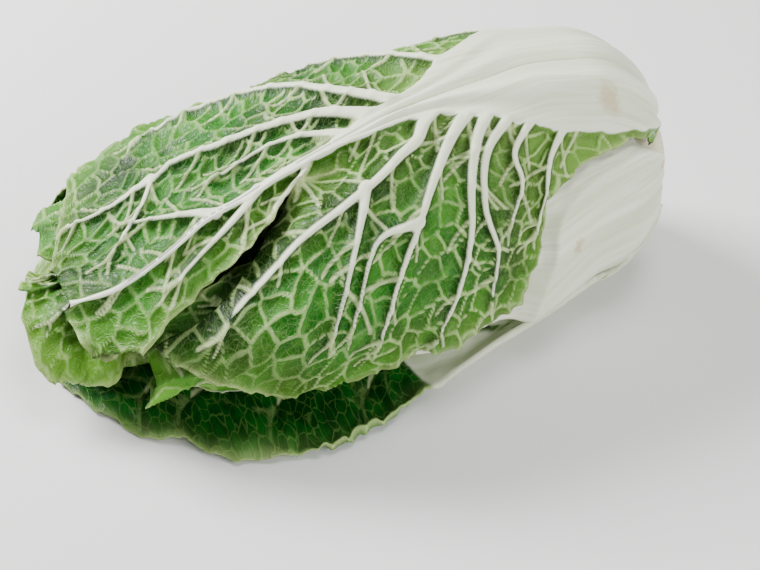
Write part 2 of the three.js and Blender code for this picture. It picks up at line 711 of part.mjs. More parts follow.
// The leaf inside those: only its margin shows, past the tip of the top leaf and in the slit.
const innerLeaf = {
  name: 'inner_leaf',
  phase: 5.1,
  ruffle: 3.6,
  pucker: 2.0,
  scallop: 2.2,
  join: -60,
  midWidth: 4,
  mid: [[178, 34], [100, 32], [0, 34], [-100, 32], [-180, 30]],
  stalk: [[178, 18, 5], [160, 26, 5.5], [125, 32, 6], [80, 28, 5.5], [30, 18, 4.5], [-20, 9, 3],
    [-46, 5, 1.4], [-60, 3, 1.4]],
  strips: [
    {
      side: -1,
      columns: 4,
      split: [2, 2, 3, 2, 3, 3, 3, 2],
      rows: [[110, null, 104, -20], [60, null, 46, -26], [10, null, -8, -30], [-60, null, -84, -34],
        [-90, null, -116, -34], [-120, null, -150, -34], [-150, null, -172, -22],
        [-170, null, -180, 0], [-180, null, -184, 18]],
    },
    {
      side: 1,
      columns: 4,
      split: [2, 2, 3, 2, 3, 3, 3, 2],
      rows: [[110, null, 104, 88], [60, null, 46, 92], [10, null, -8, 94], [-60, null, -84, 98],
        [-90, null, -116, 100], [-120, null, -150, 100], [-150, null, -173, 96],
        [-170, null, -184, 82], [-180, null, -186, 56]],
    },
  ],
  ribs: [
    { line: [[-60, 33], [-100, 14], [-140, -8]], width: 4, height: 1.3 },
    { line: [[-60, 34], [-96, 56], [-136, 76]], width: 4, height: 1.3 },
    { line: [[-120, 31], [-150, 14], [-170, 2]], width: 3, height: 1.1 },
    { line: [[-120, 32], [-150, 50], [-170, 62]], width: 3, height: 1.1 },
  ],
};

// The closed heart
// The tight inner leaves are one dense body; the edges of its wrapped leaves stand up as steps.
const HEART_FIRST = -178;
const HEART_LAST = 205;
const HEART_EDGE_TURN = 72;   // degrees from one wrapped leaf's edge to the next
const HEART_EDGE_STEP = 2.6;  // how far each of those edges stands up
function makeHeart() {
  const under = ceiling();
  const rows = 23;
  const columns = 25;
  const position = [];
  const faces = [];
  for (let i = 0; i <= rows; i += 1) {
    const s = HEART_FIRST + ((HEART_LAST - HEART_FIRST) * i) / rows;
    const close = Math.sqrt(1 - (1 - smooth(HEART_FIRST - 4, HEART_FIRST + 46, s)) ** 2);
    for (let j = 0; j < columns; j += 1) {
      const angle = (360 * j) / columns;
      const leafTurns = (angle + 0.55 * s) / HEART_EDGE_TURN;
      const step = HEART_EDGE_STEP * (leafTurns - Math.floor(leafTurns));
      const wave = 1.2 * Math.sin(s / 9 + j) * smooth(-40, -120, s);
      const base = Math.min(under(s, angle), headRadius(s, angle) - CLOSED_UNDER);
      position.push(...place(s, angle, (base - step - 1.2 - wave) * close));
    }
  }
  const quads = (a, b, c, d) => faces.push([a, b, c], [a, c, d]);
  for (let i = 0; i < rows; i += 1) {
    for (let j = 0; j < columns; j += 1) {
      const k = (j + 1) % columns;
      quads(i * columns + j, (i + 1) * columns + j, (i + 1) * columns + k, i * columns + k);
    }
  }
  // both ends close on a point of the axis
  const capX = place(HEART_LAST, 0, 0.9 * under(HEART_LAST, 0))[0];
  const tipPoint = position.length / 3;
  position.push(...place(HEART_FIRST, 0, 0), capX, 0, axisHeight(HEART_LAST));
  for (let j = 0; j < columns; j += 1) {
    const k = (j + 1) % columns;
    faces.push([k, tipPoint, j], [rows * columns + j, tipPoint + 1, rows * columns + k]);
  }
  const bore = alongAxis(new THREE.CylinderGeometry(STEM_RADIUS + 0.5, STEM_RADIUS + 0.5, 80,
    STEM_SIDES), STEM_FACE);
  return solidOf(position, faces).subtract(bore);
}

// The cut stem: a short plug among the stalk bases, its edge a little rounded
function makeStem() {
  const profile = [[0, 0], [STEM_RADIUS - 3, 0], [STEM_RADIUS, STEM_LENGTH - 2],
    [STEM_RADIUS - 1.6, STEM_LENGTH], [0, STEM_LENGTH]];
  const plug = new THREE.LatheGeometry(profile.map(([r, h]) => new THREE.Vector2(r, h)),
    STEM_SIDES);
  return alongAxis(plug.translate(0, -STEM_LENGTH, 0), STEM_FACE);
}

// a turned geometry, moved from the Y axis to the head's axis at station x
function alongAxis(geometry, x) {
  geometry.rotateZ(-Math.PI / 2).translate(x, 0, axisHeight(CAP_START));
  return solidOfGeometry(geometry);
}

// Assembly
const paint = (r, g, b, roughness) => new THREE.MeshStandardMaterial({
  color: new THREE.Color().setRGB(r, g, b, THREE.SRGBColorSpace),
  roughness,
});
const stalkWhite = paint(0.93, 0.94, 0.88, 0.45);
const greens = {
  top_leaf: paint(0.4, 0.58, 0.27, 0.5),
  side_leaf: paint(0.5, 0.64, 0.3, 0.5),
  bottom_leaf: paint(0.2, 0.38, 0.15, 0.55),
  inner_leaf: paint(0.42, 0.6, 0.24, 0.5),
  back_leaf: paint(0.42, 0.58, 0.28, 0.5),
  back_low_leaf: paint(0.36, 0.54, 0.25, 0.5),
};
const heartGreen = paint(0.62, 0.72, 0.4, 0.5);
const stemCream = paint(0.88, 0.86, 0.74, 0.7);

const pieces = [];
for (const leaf of [bottomLeaf, backLowLeaf, topLeaf, backLeaf, sideLeaf, innerLeaf]) {
  const { blade, ribs } = makeLeaf(leaf);
  pieces.push([`${leaf.name}_blade`, blade, greens[leaf.name]]);
  pieces.push([`${leaf.name}_ribs`, ribs, stalkWhite]);
}
pieces.push(['heart', makeHeart(), heartGreen]);
pieces.push(['stem', makeStem(), stemCream]);

const surface = solidOfGeometry(new THREE.BoxGeometry(600, 600, 40)
  .translate(0, 0, REST_CUT - 20));
const group = new THREE.Group();
group.name = 'napa_cabbage';
for (const [name, solid, material] of pieces) {
  const mesh = new THREE.Mesh(geometryOf(largest(solid.subtract(surface))), material);
  mesh.name = name;
  group.add(mesh);
}
const box = new THREE.Box3().setFromObject(group);
for (const mesh of group.children) {
  mesh.geometry.translate(-(box.min.x + box.max.x) / 2, -(box.min.y + box.max.y) / 2, -box.min.z);
}

export default group;
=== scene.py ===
"""The look of a head of napa cabbage lying on its side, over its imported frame.

Leaves are drawn as in the part's source, in millimetres on the head: a station s along it and
an angle round it, 0 degrees on top and growing towards -Y. They are finer here: one closed
sheet for each leaf, with its stalk, ribs, raised net, puckers and ruffles in the form itself.
"""
import math

import bpy
import numpy as np
from mathutils import Matrix, Vector


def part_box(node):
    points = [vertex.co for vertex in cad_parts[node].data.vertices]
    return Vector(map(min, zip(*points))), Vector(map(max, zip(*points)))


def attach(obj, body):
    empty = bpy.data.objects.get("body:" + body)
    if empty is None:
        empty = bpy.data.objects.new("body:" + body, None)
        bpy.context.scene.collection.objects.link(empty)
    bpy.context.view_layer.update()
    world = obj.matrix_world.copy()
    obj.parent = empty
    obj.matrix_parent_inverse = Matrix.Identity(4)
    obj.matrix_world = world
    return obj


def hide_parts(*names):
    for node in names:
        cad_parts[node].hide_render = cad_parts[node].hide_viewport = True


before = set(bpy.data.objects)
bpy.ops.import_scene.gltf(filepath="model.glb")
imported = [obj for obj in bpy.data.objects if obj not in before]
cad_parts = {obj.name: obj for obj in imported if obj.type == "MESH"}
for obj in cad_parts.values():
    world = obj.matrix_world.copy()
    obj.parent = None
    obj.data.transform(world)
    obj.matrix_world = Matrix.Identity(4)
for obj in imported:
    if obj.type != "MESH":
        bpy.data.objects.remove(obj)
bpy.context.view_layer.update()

MM = 0.001
RAD = math.pi / 180
CAP_START = 125.0
CAP_ARC = 60.0
ROUND_END = 150.0
RIB_ROOM = 2.2
LAYER_GAP = 1.1
STEM_RADIUS = 24.0
STEM_FACE = 178.0
STEM_LENGTH = 38.0
REST_CUT = 1.2
BLADE = 1.15
PRESSED_FROM = 92.0
PRESSED_BLADE = 0.8
CELL = 12.0
FAR_OFF = 9.0


def curve(points):
    """A smooth line through (x, y) points that makes no waves of its own."""
    p = np.array(sorted([float(a), float(b)] for a, b in points))
    x, y = p[:, 0], p[:, 1]
    step = np.diff(x)
    slope = np.diff(y) / step
    tangent = np.empty(len(x))
    tangent[0], tangent[-1] = slope[0], slope[-1]
    for i in range(1, len(x) - 1):
        a, b = slope[i - 1], slope[i]
        w1, w2 = 2 * step[i] + step[i - 1], step[i] + 2 * step[i - 1]
        tangent[i] = 0 if a * b <= 0 else (w1 + w2) / (w1 / a + w2 / b)

    def at(value):
        c = np.clip(value, x[0], x[-1])
        i = np.clip(np.searchsorted(x, c, side="right") - 1, 0, len(x) - 2)
        t = (c - x[i]) / step[i]
        u = 1 - t
        return (y[i] * (1 + 2 * t) * u * u + step[i] * tangent[i] * t * u * u
                + y[i + 1] * (3 - 2 * t) * t * t - step[i] * tangent[i + 1] * t * t * u)

    return at


def smooth(a, b, x):
    t = np.clip((x - a) / (b - a), 0, 1)
    return t * t * (3 - 2 * t)


# station, height of the axis, then the reach towards -Y, +Y, up and down
HEAD = [
    (200, 64, 56, 57, 53, 50),
    (190, 64, 57, 58, 57, 54),
    (165, 64, 60, 63, 66, 58),
    (125, 64, 65, 68, 75, 63),
    (70, 64, 84, 76, 78, 64),
    (15, 62, 104, 84, 73, 62),
    (-45, 57, 117, 96, 63, 57),
    (-100, 48, 112, 102, 51, 48),
    (-145, 38, 94, 92, 41, 38),
    (-184, 28, 68, 68, 28, 28),
]
axis_height, reach_near, reach_far, reach_top, reach_bottom = (
    curve([(row[0], row[k]) for row in HEAD]) for k in range(1, 6))


# the near side swells low down, over the stalks that lie on the surface
belly = curve([(-25, 0), (0, 6), (20, 12.5), (39, 12.5), (57, 10), (79, 7.5), (101, 5),
               (125, 0)])


def head_radius(s, angle):
    sine, cosine = np.sin(angle * RAD), np.cos(angle * RAD)
    across = np.where(sine >= 0, reach_near(s), reach_far(s))
    along = np.where(cosine >= 0, reach_top(s), reach_bottom(s))
    power = np.where(cosine >= 0, np.where(sine < 0, 2.3, 2.0), 3.2)
    plain = ((abs(sine) / across) ** power + (abs(cosine) / along) ** power) ** (-1 / power)
    swollen = plain + belly(s) * smooth(82, 110, angle) * smooth(165, 140, angle)
    table = axis_height(s) / np.maximum(-cosine, 0.01)
    return np.where(cosine < 0, np.minimum(swollen, np.maximum(plain, table)), swollen)


def bend(s):
    return np.maximum(0, (s - CAP_START) / CAP_ARC)


def place(s, angle, radius):
    """Millimetres on the head to a point of the head."""
    b = bend(s)
    level = radius * np.cos(b)
    return np.stack([np.minimum(s, CAP_START) + radius * np.sin(b),
                     -level * np.sin(angle * RAD),
                     axis_height(s) + level * np.cos(angle * RAD)], axis=-1)


def turn(s, angle):
    """Degrees that one millimetre round the head takes."""
    return 1 / (head_radius(s, angle) * np.cos(bend(s)) * RAD)


# the stem's place in the frame says where the head's own origin went
stem_low, stem_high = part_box("stem")
ORIGIN = np.array([
    stem_high[0] / MM - STEM_FACE,
    (stem_low[1] + stem_high[1]) / 2 / MM,
    (stem_low[2] + stem_high[2]) / 2 / MM - float(axis_height(CAP_START)),
])


def between(table, u, v, wraps=False):
    """What a table says between its rows and columns."""
    i, j = np.floor(u).astype(int), np.floor(v).astype(int)
    k = (j + 1) % table.shape[1] if wraps else j + 1
    du, dv = u - i, v - j
    return ((table[i, j] * (1 - dv) + table[i, k] * dv) * (1 - du)
            + (table[i + 1, j] * (1 - dv) + table[i + 1, k] * dv) * du)


class Room:
    """The room that is left inside the leaves laid so far."""

    first, step, rows = -200.0, 4.0, 106
    degrees, columns = 4, 90
    empty, spare = 200.0, 3.0

    def __init__(self):
        self.least = np.full((self.rows, self.columns), self.empty)
        s = self.first + self.step * np.arange(self.rows)[:, None]
        angle = self.degrees * np.arange(self.columns)[None, :]
        self.cap = head_radius(s, angle) + self.spare

    def claim(self, s, angle, radius):
        i = np.clip(np.floor((s - self.first) / self.step + 0.5).astype(int), 0, self.rows - 1)
        j = np.floor(angle / self.degrees + 0.5).astype(int) % self.columns
        np.minimum.at(self.least, (i, j), radius)

    def filtered(self, grid, reach, join):
        """Each spot's neighbours within reach, joined to one value."""
        wide = np.pad(grid, ((reach, reach), (0, 0)), mode="edge")
        seen = [np.roll(wide[a:a + self.rows], b, axis=1)
                for a in range(2 * reach + 1) for b in range(-reach, reach + 1)]
        return join(seen, axis=0)

    def ceiling(self, loose=0.0):
        grid = self.filtered(np.minimum(self.least, self.cap + loose), 2, np.min)
        grid = self.filtered(self.filtered(grid, 1, np.mean), 1, np.mean)

        def at(s, angle):
            u = np.clip((s - self.first) / self.step, 0, self.rows - 1.001)
            v = (angle / self.degrees) % self.columns
            return between(grid, u, v, wraps=True) - LAYER_GAP

        return at


room = Room()


def chance(i, j, seed):
    """A number from 0 to 1 that belongs to a whole-number spot, the same on every run."""
    h = (i.astype(np.int64) * 374761393 + j.astype(np.int64) * 668265263 + seed * 974634777)
    h = (h ^ (h >> 13)) * 1274126177 & 0xFFFFFFFF
    h = (h ^ (h >> 16)) * 2246822519 & 0xFFFFFFFF
    return ((h ^ (h >> 15)) & 0xFFFFFF) / float(0xFFFFFF)


def grain(x, y, size, seed):
    """Smooth noise from -1 to 1 with bumps of about that size."""
    u, v = x / size, y / size
    i, j = np.floor(u), np.floor(v)
    du, dv = smooth(0, 1, u - i), smooth(0, 1, v - j)
    a, b = chance(i, j, seed), chance(i + 1, j, seed)
    c, d = chance(i, j + 1, seed), chance(i + 1, j + 1, seed)
    return 2 * ((a * (1 - du) + b * du) * (1 - dv) + (c * (1 - du) + d * du) * dv) - 1


def cells(x, y, size, seed):
    """Distance to the border of an irregular cell, the cell's number, and the way to its centre."""
    u, v = x / size, y / size
    i, j = np.floor(u), np.floor(v)
    best = np.full(x.shape, 1e9)
    centre = np.zeros(x.shape + (2,))
    spots = []
    for di in range(-2, 3):
        for dj in range(-2, 3):
            a, b = i + di, j + dj
            spot = np.stack([a + 0.5 + 0.84 * (chance(a, b, seed) - 0.5),
                             b + 0.5 + 0.84 * (chance(a, b, seed + 1) - 0.5)], axis=-1)
            spots.append(spot)
            d = (spot[..., 0] - u) ** 2 + (spot[..., 1] - v) ** 2
            near = d < best
            best = np.where(near, d, best)
            centre = np.where(near[..., None], spot, centre)
    border = np.full(x.shape, 1e9)
    for spot in spots:
        way = spot - centre
        length = np.hypot(way[..., 0], way[..., 1])
        mid = (spot + centre) / 2
        d = ((mid[..., 0] - u) * way[..., 0] + (mid[..., 1] - v) * way[..., 1])
        border = np.where(length > 1e-6, np.minimum(border, d / np.maximum(length, 1e-6)), border)
    number = chance(np.floor(centre[..., 0] * 64), np.floor(centre[..., 1] * 64), seed + 7)
    return border * size, number, (u - centre[..., 0]) * size, (v - centre[..., 1]) * size


def rounded_line(points, spacing=3.0):
    """Control points joined by a smooth line, sampled about every few millimetres."""
    p = np.array(points, float)
    if len(p) > 2:
        ends = np.vstack([2 * p[0] - p[1], p, 2 * p[-1] - p[-2]])
    else:
        ends = np.vstack([p[0], p, p[-1]])
    out = []
    for i in range(1, len(ends) - 2):
        a, b, c, d = ends[i - 1:i + 3]
        n = max(1, int(round(np.hypot(*(c - b)) / spacing)))
        for t in np.arange(n) / n:
            out.append(0.5 * (2 * b + (c - a) * t + (2 * a - 5 * b + 4 * c - d) * t * t
                              + (3 * b - a - 3 * c + d) * t ** 3))
    out.append(p[-1])
    return np.array(out)


def line_distance(x, y, line):
    """Distance to a line and how far along it, from 0 to 1, the nearest spot lies."""
    low, high = line.min(axis=0) - 24, line.max(axis=0) + 24
    best = np.full(x.shape, 60.0)
    share = np.zeros(x.shape)
    pick = np.nonzero((x > low[0]) & (x < high[0]) & (y > low[1]) & (y < high[1]))[0]
    if not len(pick):
        return best, share
    px, py = x[pick], y[pick]
    found, part = np.full(px.shape, 60.0), np.zeros(px.shape)
    lengths = np.hypot(*np.diff(line, axis=0).T)
    done = np.concatenate([[0], np.cumsum(lengths)])
    for k in range(len(line) - 1):
        (ax, ay), (bx, by) = line[k], line[k + 1]
        along = (px - ax) * (bx - ax) + (py - ay) * (by - ay)
        t = np.clip(along / max(lengths[k] ** 2, 1e-9), 0, 1)
        d = np.hypot(px - ax - t * (bx - ax), py - ay - t * (by - ay))
        near = d < found
        found = np.where(near, d, found)
        part = np.where(near, (done[k] + t * lengths[k]) / done[-1], part)
    best[pick], share[pick] = found, part
    return best, share


# Leaves, each with these values
# mid: station and angle of the midrib. stalk: station, half width and thickness.
# minus, plus: rows across either side of the blade, as the station on the midrib and then the
# outer end's station and angle, or both ends in full. tip: the same for a part that parts from
# the blade beside it at the station seam_end.
# ribs: width and height of each, then its points.
# join: where the stalk has narrowed to a midrib. pitch: size of a face.
# phase, ruffle, pucker, scallop: the waves of the margin and blade. calm: fewer near the stalk.
# form, sink, loose: how the leaf leaves the round of the head. outermost: no leaf lies over it.
# white_end, white_side, far_white: where the white of the stalk stops or spreads.
# coat: the greens as they look on a screen, more or less yellow at the margin, and stains, each
# as its station, its distance from the midrib and its size.
flop_reach = curve([(125, 64), (62, 80), (20, 104), (-17, 121), (-51, 132), (-75, 131),
                    (-104, 123), (-130, 108), (-150, 87), (-170, 64)])


def bottom_form(s, angle):
    """The near half has flopped out on the surface."""
    round_form = head_radius(s, angle)
    inside = (angle >= 90) & (angle <= 176)
    cosine = np.where(inside, -np.cos(angle * RAD), 1)
    sine = np.where(inside, np.sin(angle * RAD), 1)
    flopped = np.minimum((axis_height(s) - 0.8) / np.maximum(cosine, 0.02), flop_reach(s) / sine)
    share = smooth(176, 150, angle) * smooth(45, -5, s) * inside
    return round_form + share * np.maximum(0, flopped - round_form)


BOTTOM = dict(
    name="bottom_leaf", outermost=True, phase=0.4, ruffle=3.4, pucker=2.0, scallop=1.6, join=-60,
    form=bottom_form, seed=11, pitch=2.0, calm=0.85, white_side=True,
    coat=dict(dark=(0, 58, 10), green=(10, 104, 22), light=(56, 150, 48), yellow=-0.2),
    mid=[(184, 165), (100, 163), (20, 159), (-60, 150), (-120, 146), (-168, 146)],
    stalk=[(184, 20, 6), (165, 27, 7), (125, 33, 7), (90, 34, 6.5), (40, 26, 5), (0, 14, 4),
           (-30, 8, 3), (-46, 5, 1.4), (-60, 3, 1.4)],
    minus=[(118, 117, 128), (95, 88, 128), (60, 50, 125), (30, 12, 119), (0, -18, 113.8),
           (-34, -50, 111.6), (-60, -76, 111.2), (-90, -106, 111.5), (-120, -134, 113), (-148, -156, 117),
           (-166, -170, 130)],
    plus=[(118, 117, 200), (95, 88, 207), (60, 50, 212), (30, 14, 214), (0, -18, 216), (-34, -50, 218),
          (-60, -80, 216), (-90, -112, 208), (-120, -140, 196), (-148, -158, 184), (-166, -170, 160)],
    ribs=[
        (5.5, 1.6, (60, 150), (30, 145), (0, 132), (-20, 122)),
        (5, 1.6, (20, 153), (-14, 146), (-44, 132), (-70, 120)),
        (4.5, 1.4, (-20, 152), (-50, 149), (-86, 134), (-112, 122)),
        (4, 1.2, (-84, 147), (-112, 137), (-132, 124)),
        (5, 1.4, (90, 142), (62, 133), (44, 122)),
        (4.5, 1.4, (30, 167), (-4, 184), (-30, 200)),
        (4, 1.2, (-30, 155), (-66, 176), (-90, 192))],
)

BACK_LOW = dict(
    name="back_low_leaf", phase=1.9, ruffle=3.6, pucker=2.0, scallop=1.8, join=-50,
    seed=23, pitch=2.3, white_end=-132,
    coat=dict(dark=(10, 68, 8), green=(34, 104, 18), light=(82, 148, 42)),
    mid=[(183, -128), (100, -126), (0, -122), (-80, -116), (-158, -112)],
    stalk=[(183, 22, 6), (165, 30, 7), (125, 38, 7), (90, 36, 6.5), (40, 24, 5), (0, 12, 4),
           (-24, 7, 3), (-38, 5, 1.4), (-50, 3, 1.4)],
    plus=[(120, 114, -86), (85, 72, -80), (40, 22, -76), (0, -22, -74), (-50, -72, -72), (-90, -112, -74),
          (-130, -146, -87), (-156, -160, -102)],
    minus=[(120, 114, -166), (85, 72, -170), (40, 22, -172), (0, -22, -172), (-50, -72, -168),
           (-90, -112, -160), (-130, -146, -146), (-156, -160, -126)],
    ribs=[
        (5, 1.7, (70, -116), (50, -112), (20, -96), (-6, -84)),
        (4.5, 1.7, (20, -122), (0, -120), (-36, -100), (-62, -84)),
        (4, 1.5, (-50, -118), (-84, -98), (-108, -80)),
        (5, 1.6, (104, -110), (86, -100), (66, -88)),
        (4.5, 1.5, (48, -132), (30, -134), (0, -148), (-28, -160)),
        (4, 1.5, (-20, -121), (-40, -119), (-74, -136), (-98, -150))],
)

slit_angle = curve([(-41, 38), (-73, 63), (-100, 75), (-127, 81)])


def slit_sink(s, angle):
    """The tip side of the slit lies lower than the lobe beside it."""
    away = angle - slit_angle(s)
    return np.where(away < -2, 0, 14 * smooth(-36, -64, s) * np.exp(-np.maximum(away, -2) / 9))


TOP = dict(
    name="top_leaf", outermost=True, phase=0.0, ruffle=4.2, pucker=2.4, scallop=2.2, join=-20,
    form=lambda s, angle: head_radius(s, angle) + 1.5, sink=slit_sink, seam_end=-41,
    seed=5, pitch=1.5, far_white=11.0,
    coat=dict(dark=(2, 46, 4), green=(26, 110, 16), light=(112, 186, 62), stain=[(132, 27, 5)]),
    mid=[(184, 9), (102, 6), (64, 12), (19, 16), (-9, 22), (-29, 26), (-49, 30), (-70, 35),
         (-89, 38), (-104, 44), (-118, 49), (-146, 55), (-166, 54)],
    stalk=[(184, 24, 6), (165, 34, 7), (125, 44, 7.5), (99, 43.5, 7), (77, 32, 6), (57, 20, 5),
           (29, 9.5, 4), (0, 6, 3), (-8, 4.6, 1.4), (-20, 3, 1.4)],
    minus=[(138, 136, -42), (110, 104, -56), (80, 68, -63), (50, 34, -66), (20, 0, -64), (-20, -46, -61),
           (-41, -68, -62), (-60, -88, -65), (-80, -110, -66), (-100, -128, -66), (-118, -142, -62),
           (-135, -152, -48), (-150, -159, -24), (-163, -165, 12)],
    tip=[(29, None, 29, None), (-10, -10, 30), (-20, -20, 32.6), (-41, -41, 38), (-60, -61, 48),
         (-80, -86, 60), (-100, -112, 69), (-118, -132, 78), (-135, -151, 84), (-150, -161, 74),
         (-163, -166, 62)],
    plus=[(152, 152, 46), (124, 116, 53), (99, 87, 70), (77, 82, 86), (57, 64, 104), (29, 30, 103),
          (-10, 30, -2, 102), (-20, 32.6, -14, 103), (-41, 38, -34, 105), (-73, 63, -64, 105),
          (-100, 75, -90, 95), (-127, 81, -121, 86)],
    ribs=[
        (7, 2.4, (26, 15), (13, 6), (-9, -12), (-29, -31), (-65, -47), (-86, -50), (-106, -50)),
        (8, 2.6, (10, 17), (-15, 4), (-33, -1), (-67, -7), (-96, -13), (-108, -6), (-117, 10), (-138, 36)),
        (4.5, 1.6, (-9, 21), (-31, 12), (-50, 10), (-80, 14)),
        (4, 1.5, (-108, -10), (-127, -6), (-140, -7), (-156, -17)),
        (5.5, 2.1, (62, 2), (34, -20), (4, -42), (-20, -54)),
        (5.5, 2.0, (98, -22), (76, -38), (54, -52)),
        (4.5, 1.8, (-62, 33), (-74, 41), (-94, 51), (-114, 60)),
        (4, 1.6, (-84, 37), (-104, 28), (-126, 16)),
        (4, 1.5, (-34, 27), (-42, 37), (-59, 46)),
        (8, 2.8, (42, 18), (29, 25), (21, 33), (11, 37), (-2, 43), (-23, 50), (-48, 57),
         (-71, 67), (-96, 78)),
        (5, 1.8, (-12, 46), (-17, 54), (-32, 70), (-46, 84)),
        (8, 2.7, (58, 22), (41, 33), (25, 47), (9, 62), (-8, 76), (-22, 92)),
        (3.5, 1.5, (10, 61), (-15, 64), (-36, 84)),
        (7, 2.5, (66, 24), (52, 37), (42, 53), (36, 70), (24, 88), (10, 98)),
        (6, 2.3, (78, 27), (55, 43), (47, 62), (52, 79), (46, 96)),
        (4.5, 1.9, (86, 32), (70, 45), (71, 57), (60, 72)),
        (4, 1.6, (104, 36), (90, 50), (84, 64), (76, 78))],
)

BACK = dict(
    name="back_leaf", phase=2.7, ruffle=3.2, pucker=1.8, scallop=1.8, join=-50,
    seed=31, pitch=2.3, white_end=-142,
    coat=dict(dark=(26, 98, 18), green=(66, 142, 36), light=(122, 182, 70)),
    mid=[(182, -68), (100, -72), (0, -74), (-80, -66), (-168, -56)],
    stalk=[(182, 20, 5), (165, 28, 6), (125, 34, 6.5), (90, 32, 6), (40, 22, 5), (0, 12, 4),
           (-24, 7, 3), (-38, 5, 1.4), (-50, 3, 1.4)],
    plus=[(125, 118, -30), (85, 74, -26), (40, 24, -24), (0, -22, -22), (-50, -72, -20), (-90, -112, -18),
          (-130, -150, -22), (-164, -168, -40)],
    minus=[(125, 118, -108), (85, 74, -114), (40, 24, -118), (0, -22, -118), (-50, -72, -112),
           (-90, -112, -104), (-130, -150, -92), (-164, -168, -72)],
    ribs=[
        (5, 1.6, (70, -66), (50, -62), (20, -46), (-6, -34)),
        (4, 1.5, (-20, -72), (-40, -70), (-74, -50), (-98, -34)),
        (5, 1.6, (70, -80), (50, -84), (20, -98), (-6, -110)),
        (4, 1.5, (-10, -75), (-30, -74), (-64, -90), (-92, -102))],
)


def side_form(s, angle):
    """The tip stands off the head as a flap."""
    return head_radius(s, angle) + 20 * smooth(-84, -126, s) * smooth(84, 104, angle)


SIDE = dict(
    name="side_leaf", phase=3.6, ruffle=3.0, pucker=1.8, scallop=1.8, join=-60,
    form=side_form, loose=20.0, seed=43, pitch=2.0, white_end=-96,
    coat=dict(dark=(56, 132, 30), green=(106, 172, 54), light=(160, 202, 94), stain=[(106, 4, 3)]),
    mid=[(183, 82), (140, 83), (100, 90), (60, 98), (20, 104), (-60, 98), (-131, 94)],
    stalk=[(183, 23, 6), (165, 36, 7), (140, 46, 7.5), (110, 49, 7), (80, 46, 6), (40, 36, 5),
           (0, 17, 4), (-34, 8, 3), (-48, 5, 1.4), (-60, 3, 1.4)],
    minus=[(110, 106, 38), (80, 70, 48), (40, 26, 58), (0, -20, 62), (-60, -74, 66), (-90, -104, 70),
           (-114, -124, 76), (-129, -132, 84)],
    plus=[(110, 106, 138), (80, 70, 138), (40, 26, 133), (0, -20, 123), (-60, -74, 113), (-90, -104, 111),
          (-114, -126, 110), (-129, -136, 100)],
    ribs=[
        (4.5, 1.5, (30, 92), (6, 80), (-16, 70)),
        (4, 1.5, (-40, 98), (-70, 84), (-92, 76)),
        (4, 1.4, (14, 108), (-4, 114), (-22, 120)),
        (4, 1.4, (-60, 98), (-84, 104), (-102, 108))],
)

INNER = dict(
    name="inner_leaf", phase=5.1, ruffle=3.6, pucker=2.0, scallop=2.2, join=-60,
    seed=59, pitch=2.1, white_end=-150,
    coat=dict(dark=(8, 76, 4), green=(50, 130, 16), light=(128, 182, 48), yellow=0.3),
    mid=[(178, 34), (100, 32), (0, 34), (-100, 32), (-180, 30)],
    stalk=[(178, 18, 5), (160, 26, 5.5), (125, 32, 6), (80, 28, 5.5), (30, 18, 4.5), (-20, 9, 3),
           (-46, 5, 1.4), (-60, 3, 1.4)],
    minus=[(110, 104, -20), (60, 46, -26), (10, -8, -30), (-60, -84, -34), (-90, -116, -34),
           (-120, -150, -34), (-150, -172, -22), (-170, -180, 0), (-180, -184, 18)],
    plus=[(110, 104, 88), (60, 46, 92), (10, -8, 94), (-60, -84, 98), (-90, -116, 100), (-120, -150, 100),
          (-150, -173, 96), (-170, -184, 82), (-180, -186, 56)],
    ribs=[
        (4, 1.4, (-40, 34), (-60, 33), (-100, 14), (-140, -8)),
        (4, 1.4, (-40, 34), (-60, 34), (-96, 56), (-136, 76)),
        (3.5, 1.2, (-90, 33), (-120, 31), (-150, 14), (-170, 2)),
        (3.5, 1.2, (-90, 32), (-120, 32), (-150, 50), (-170, 62))],
)


def around(mid):
    """Millimetres round the head from the midrib to a spot, by a table of the head's form."""
    first, last, step = -200.0, 224.0, 4.0
    start, stop, degrees = -270.0, 362.0, 2.0
    stations = np.arange(first, last, step)
    angles = np.arange(start, stop, degrees)
    grid = head_radius(stations[:, None], angles[None, :])
    grid = grid * np.cos(bend(np.minimum(stations, ROUND_END)))[:, None] * RAD
    total = np.cumsum(grid[:, 1:] + grid[:, :-1], axis=1) * degrees / 2
    total = np.pad(total, ((0, 0), (1, 0)))

    def look(s, angle):
        u = np.clip((s - first) / step, 0, len(stations) - 1.001)
        v = np.clip((angle - start) / degrees, 0, len(angles) - 1.001)
        return between(total, u, v)

    return lambda s, angle: look(s, angle) - look(s, mid(s))


SIDES = dict(minus=-1, plus=1, tip=1)
TIP_JOINED = 2  # rows of a tip that still hang on the blade beside it


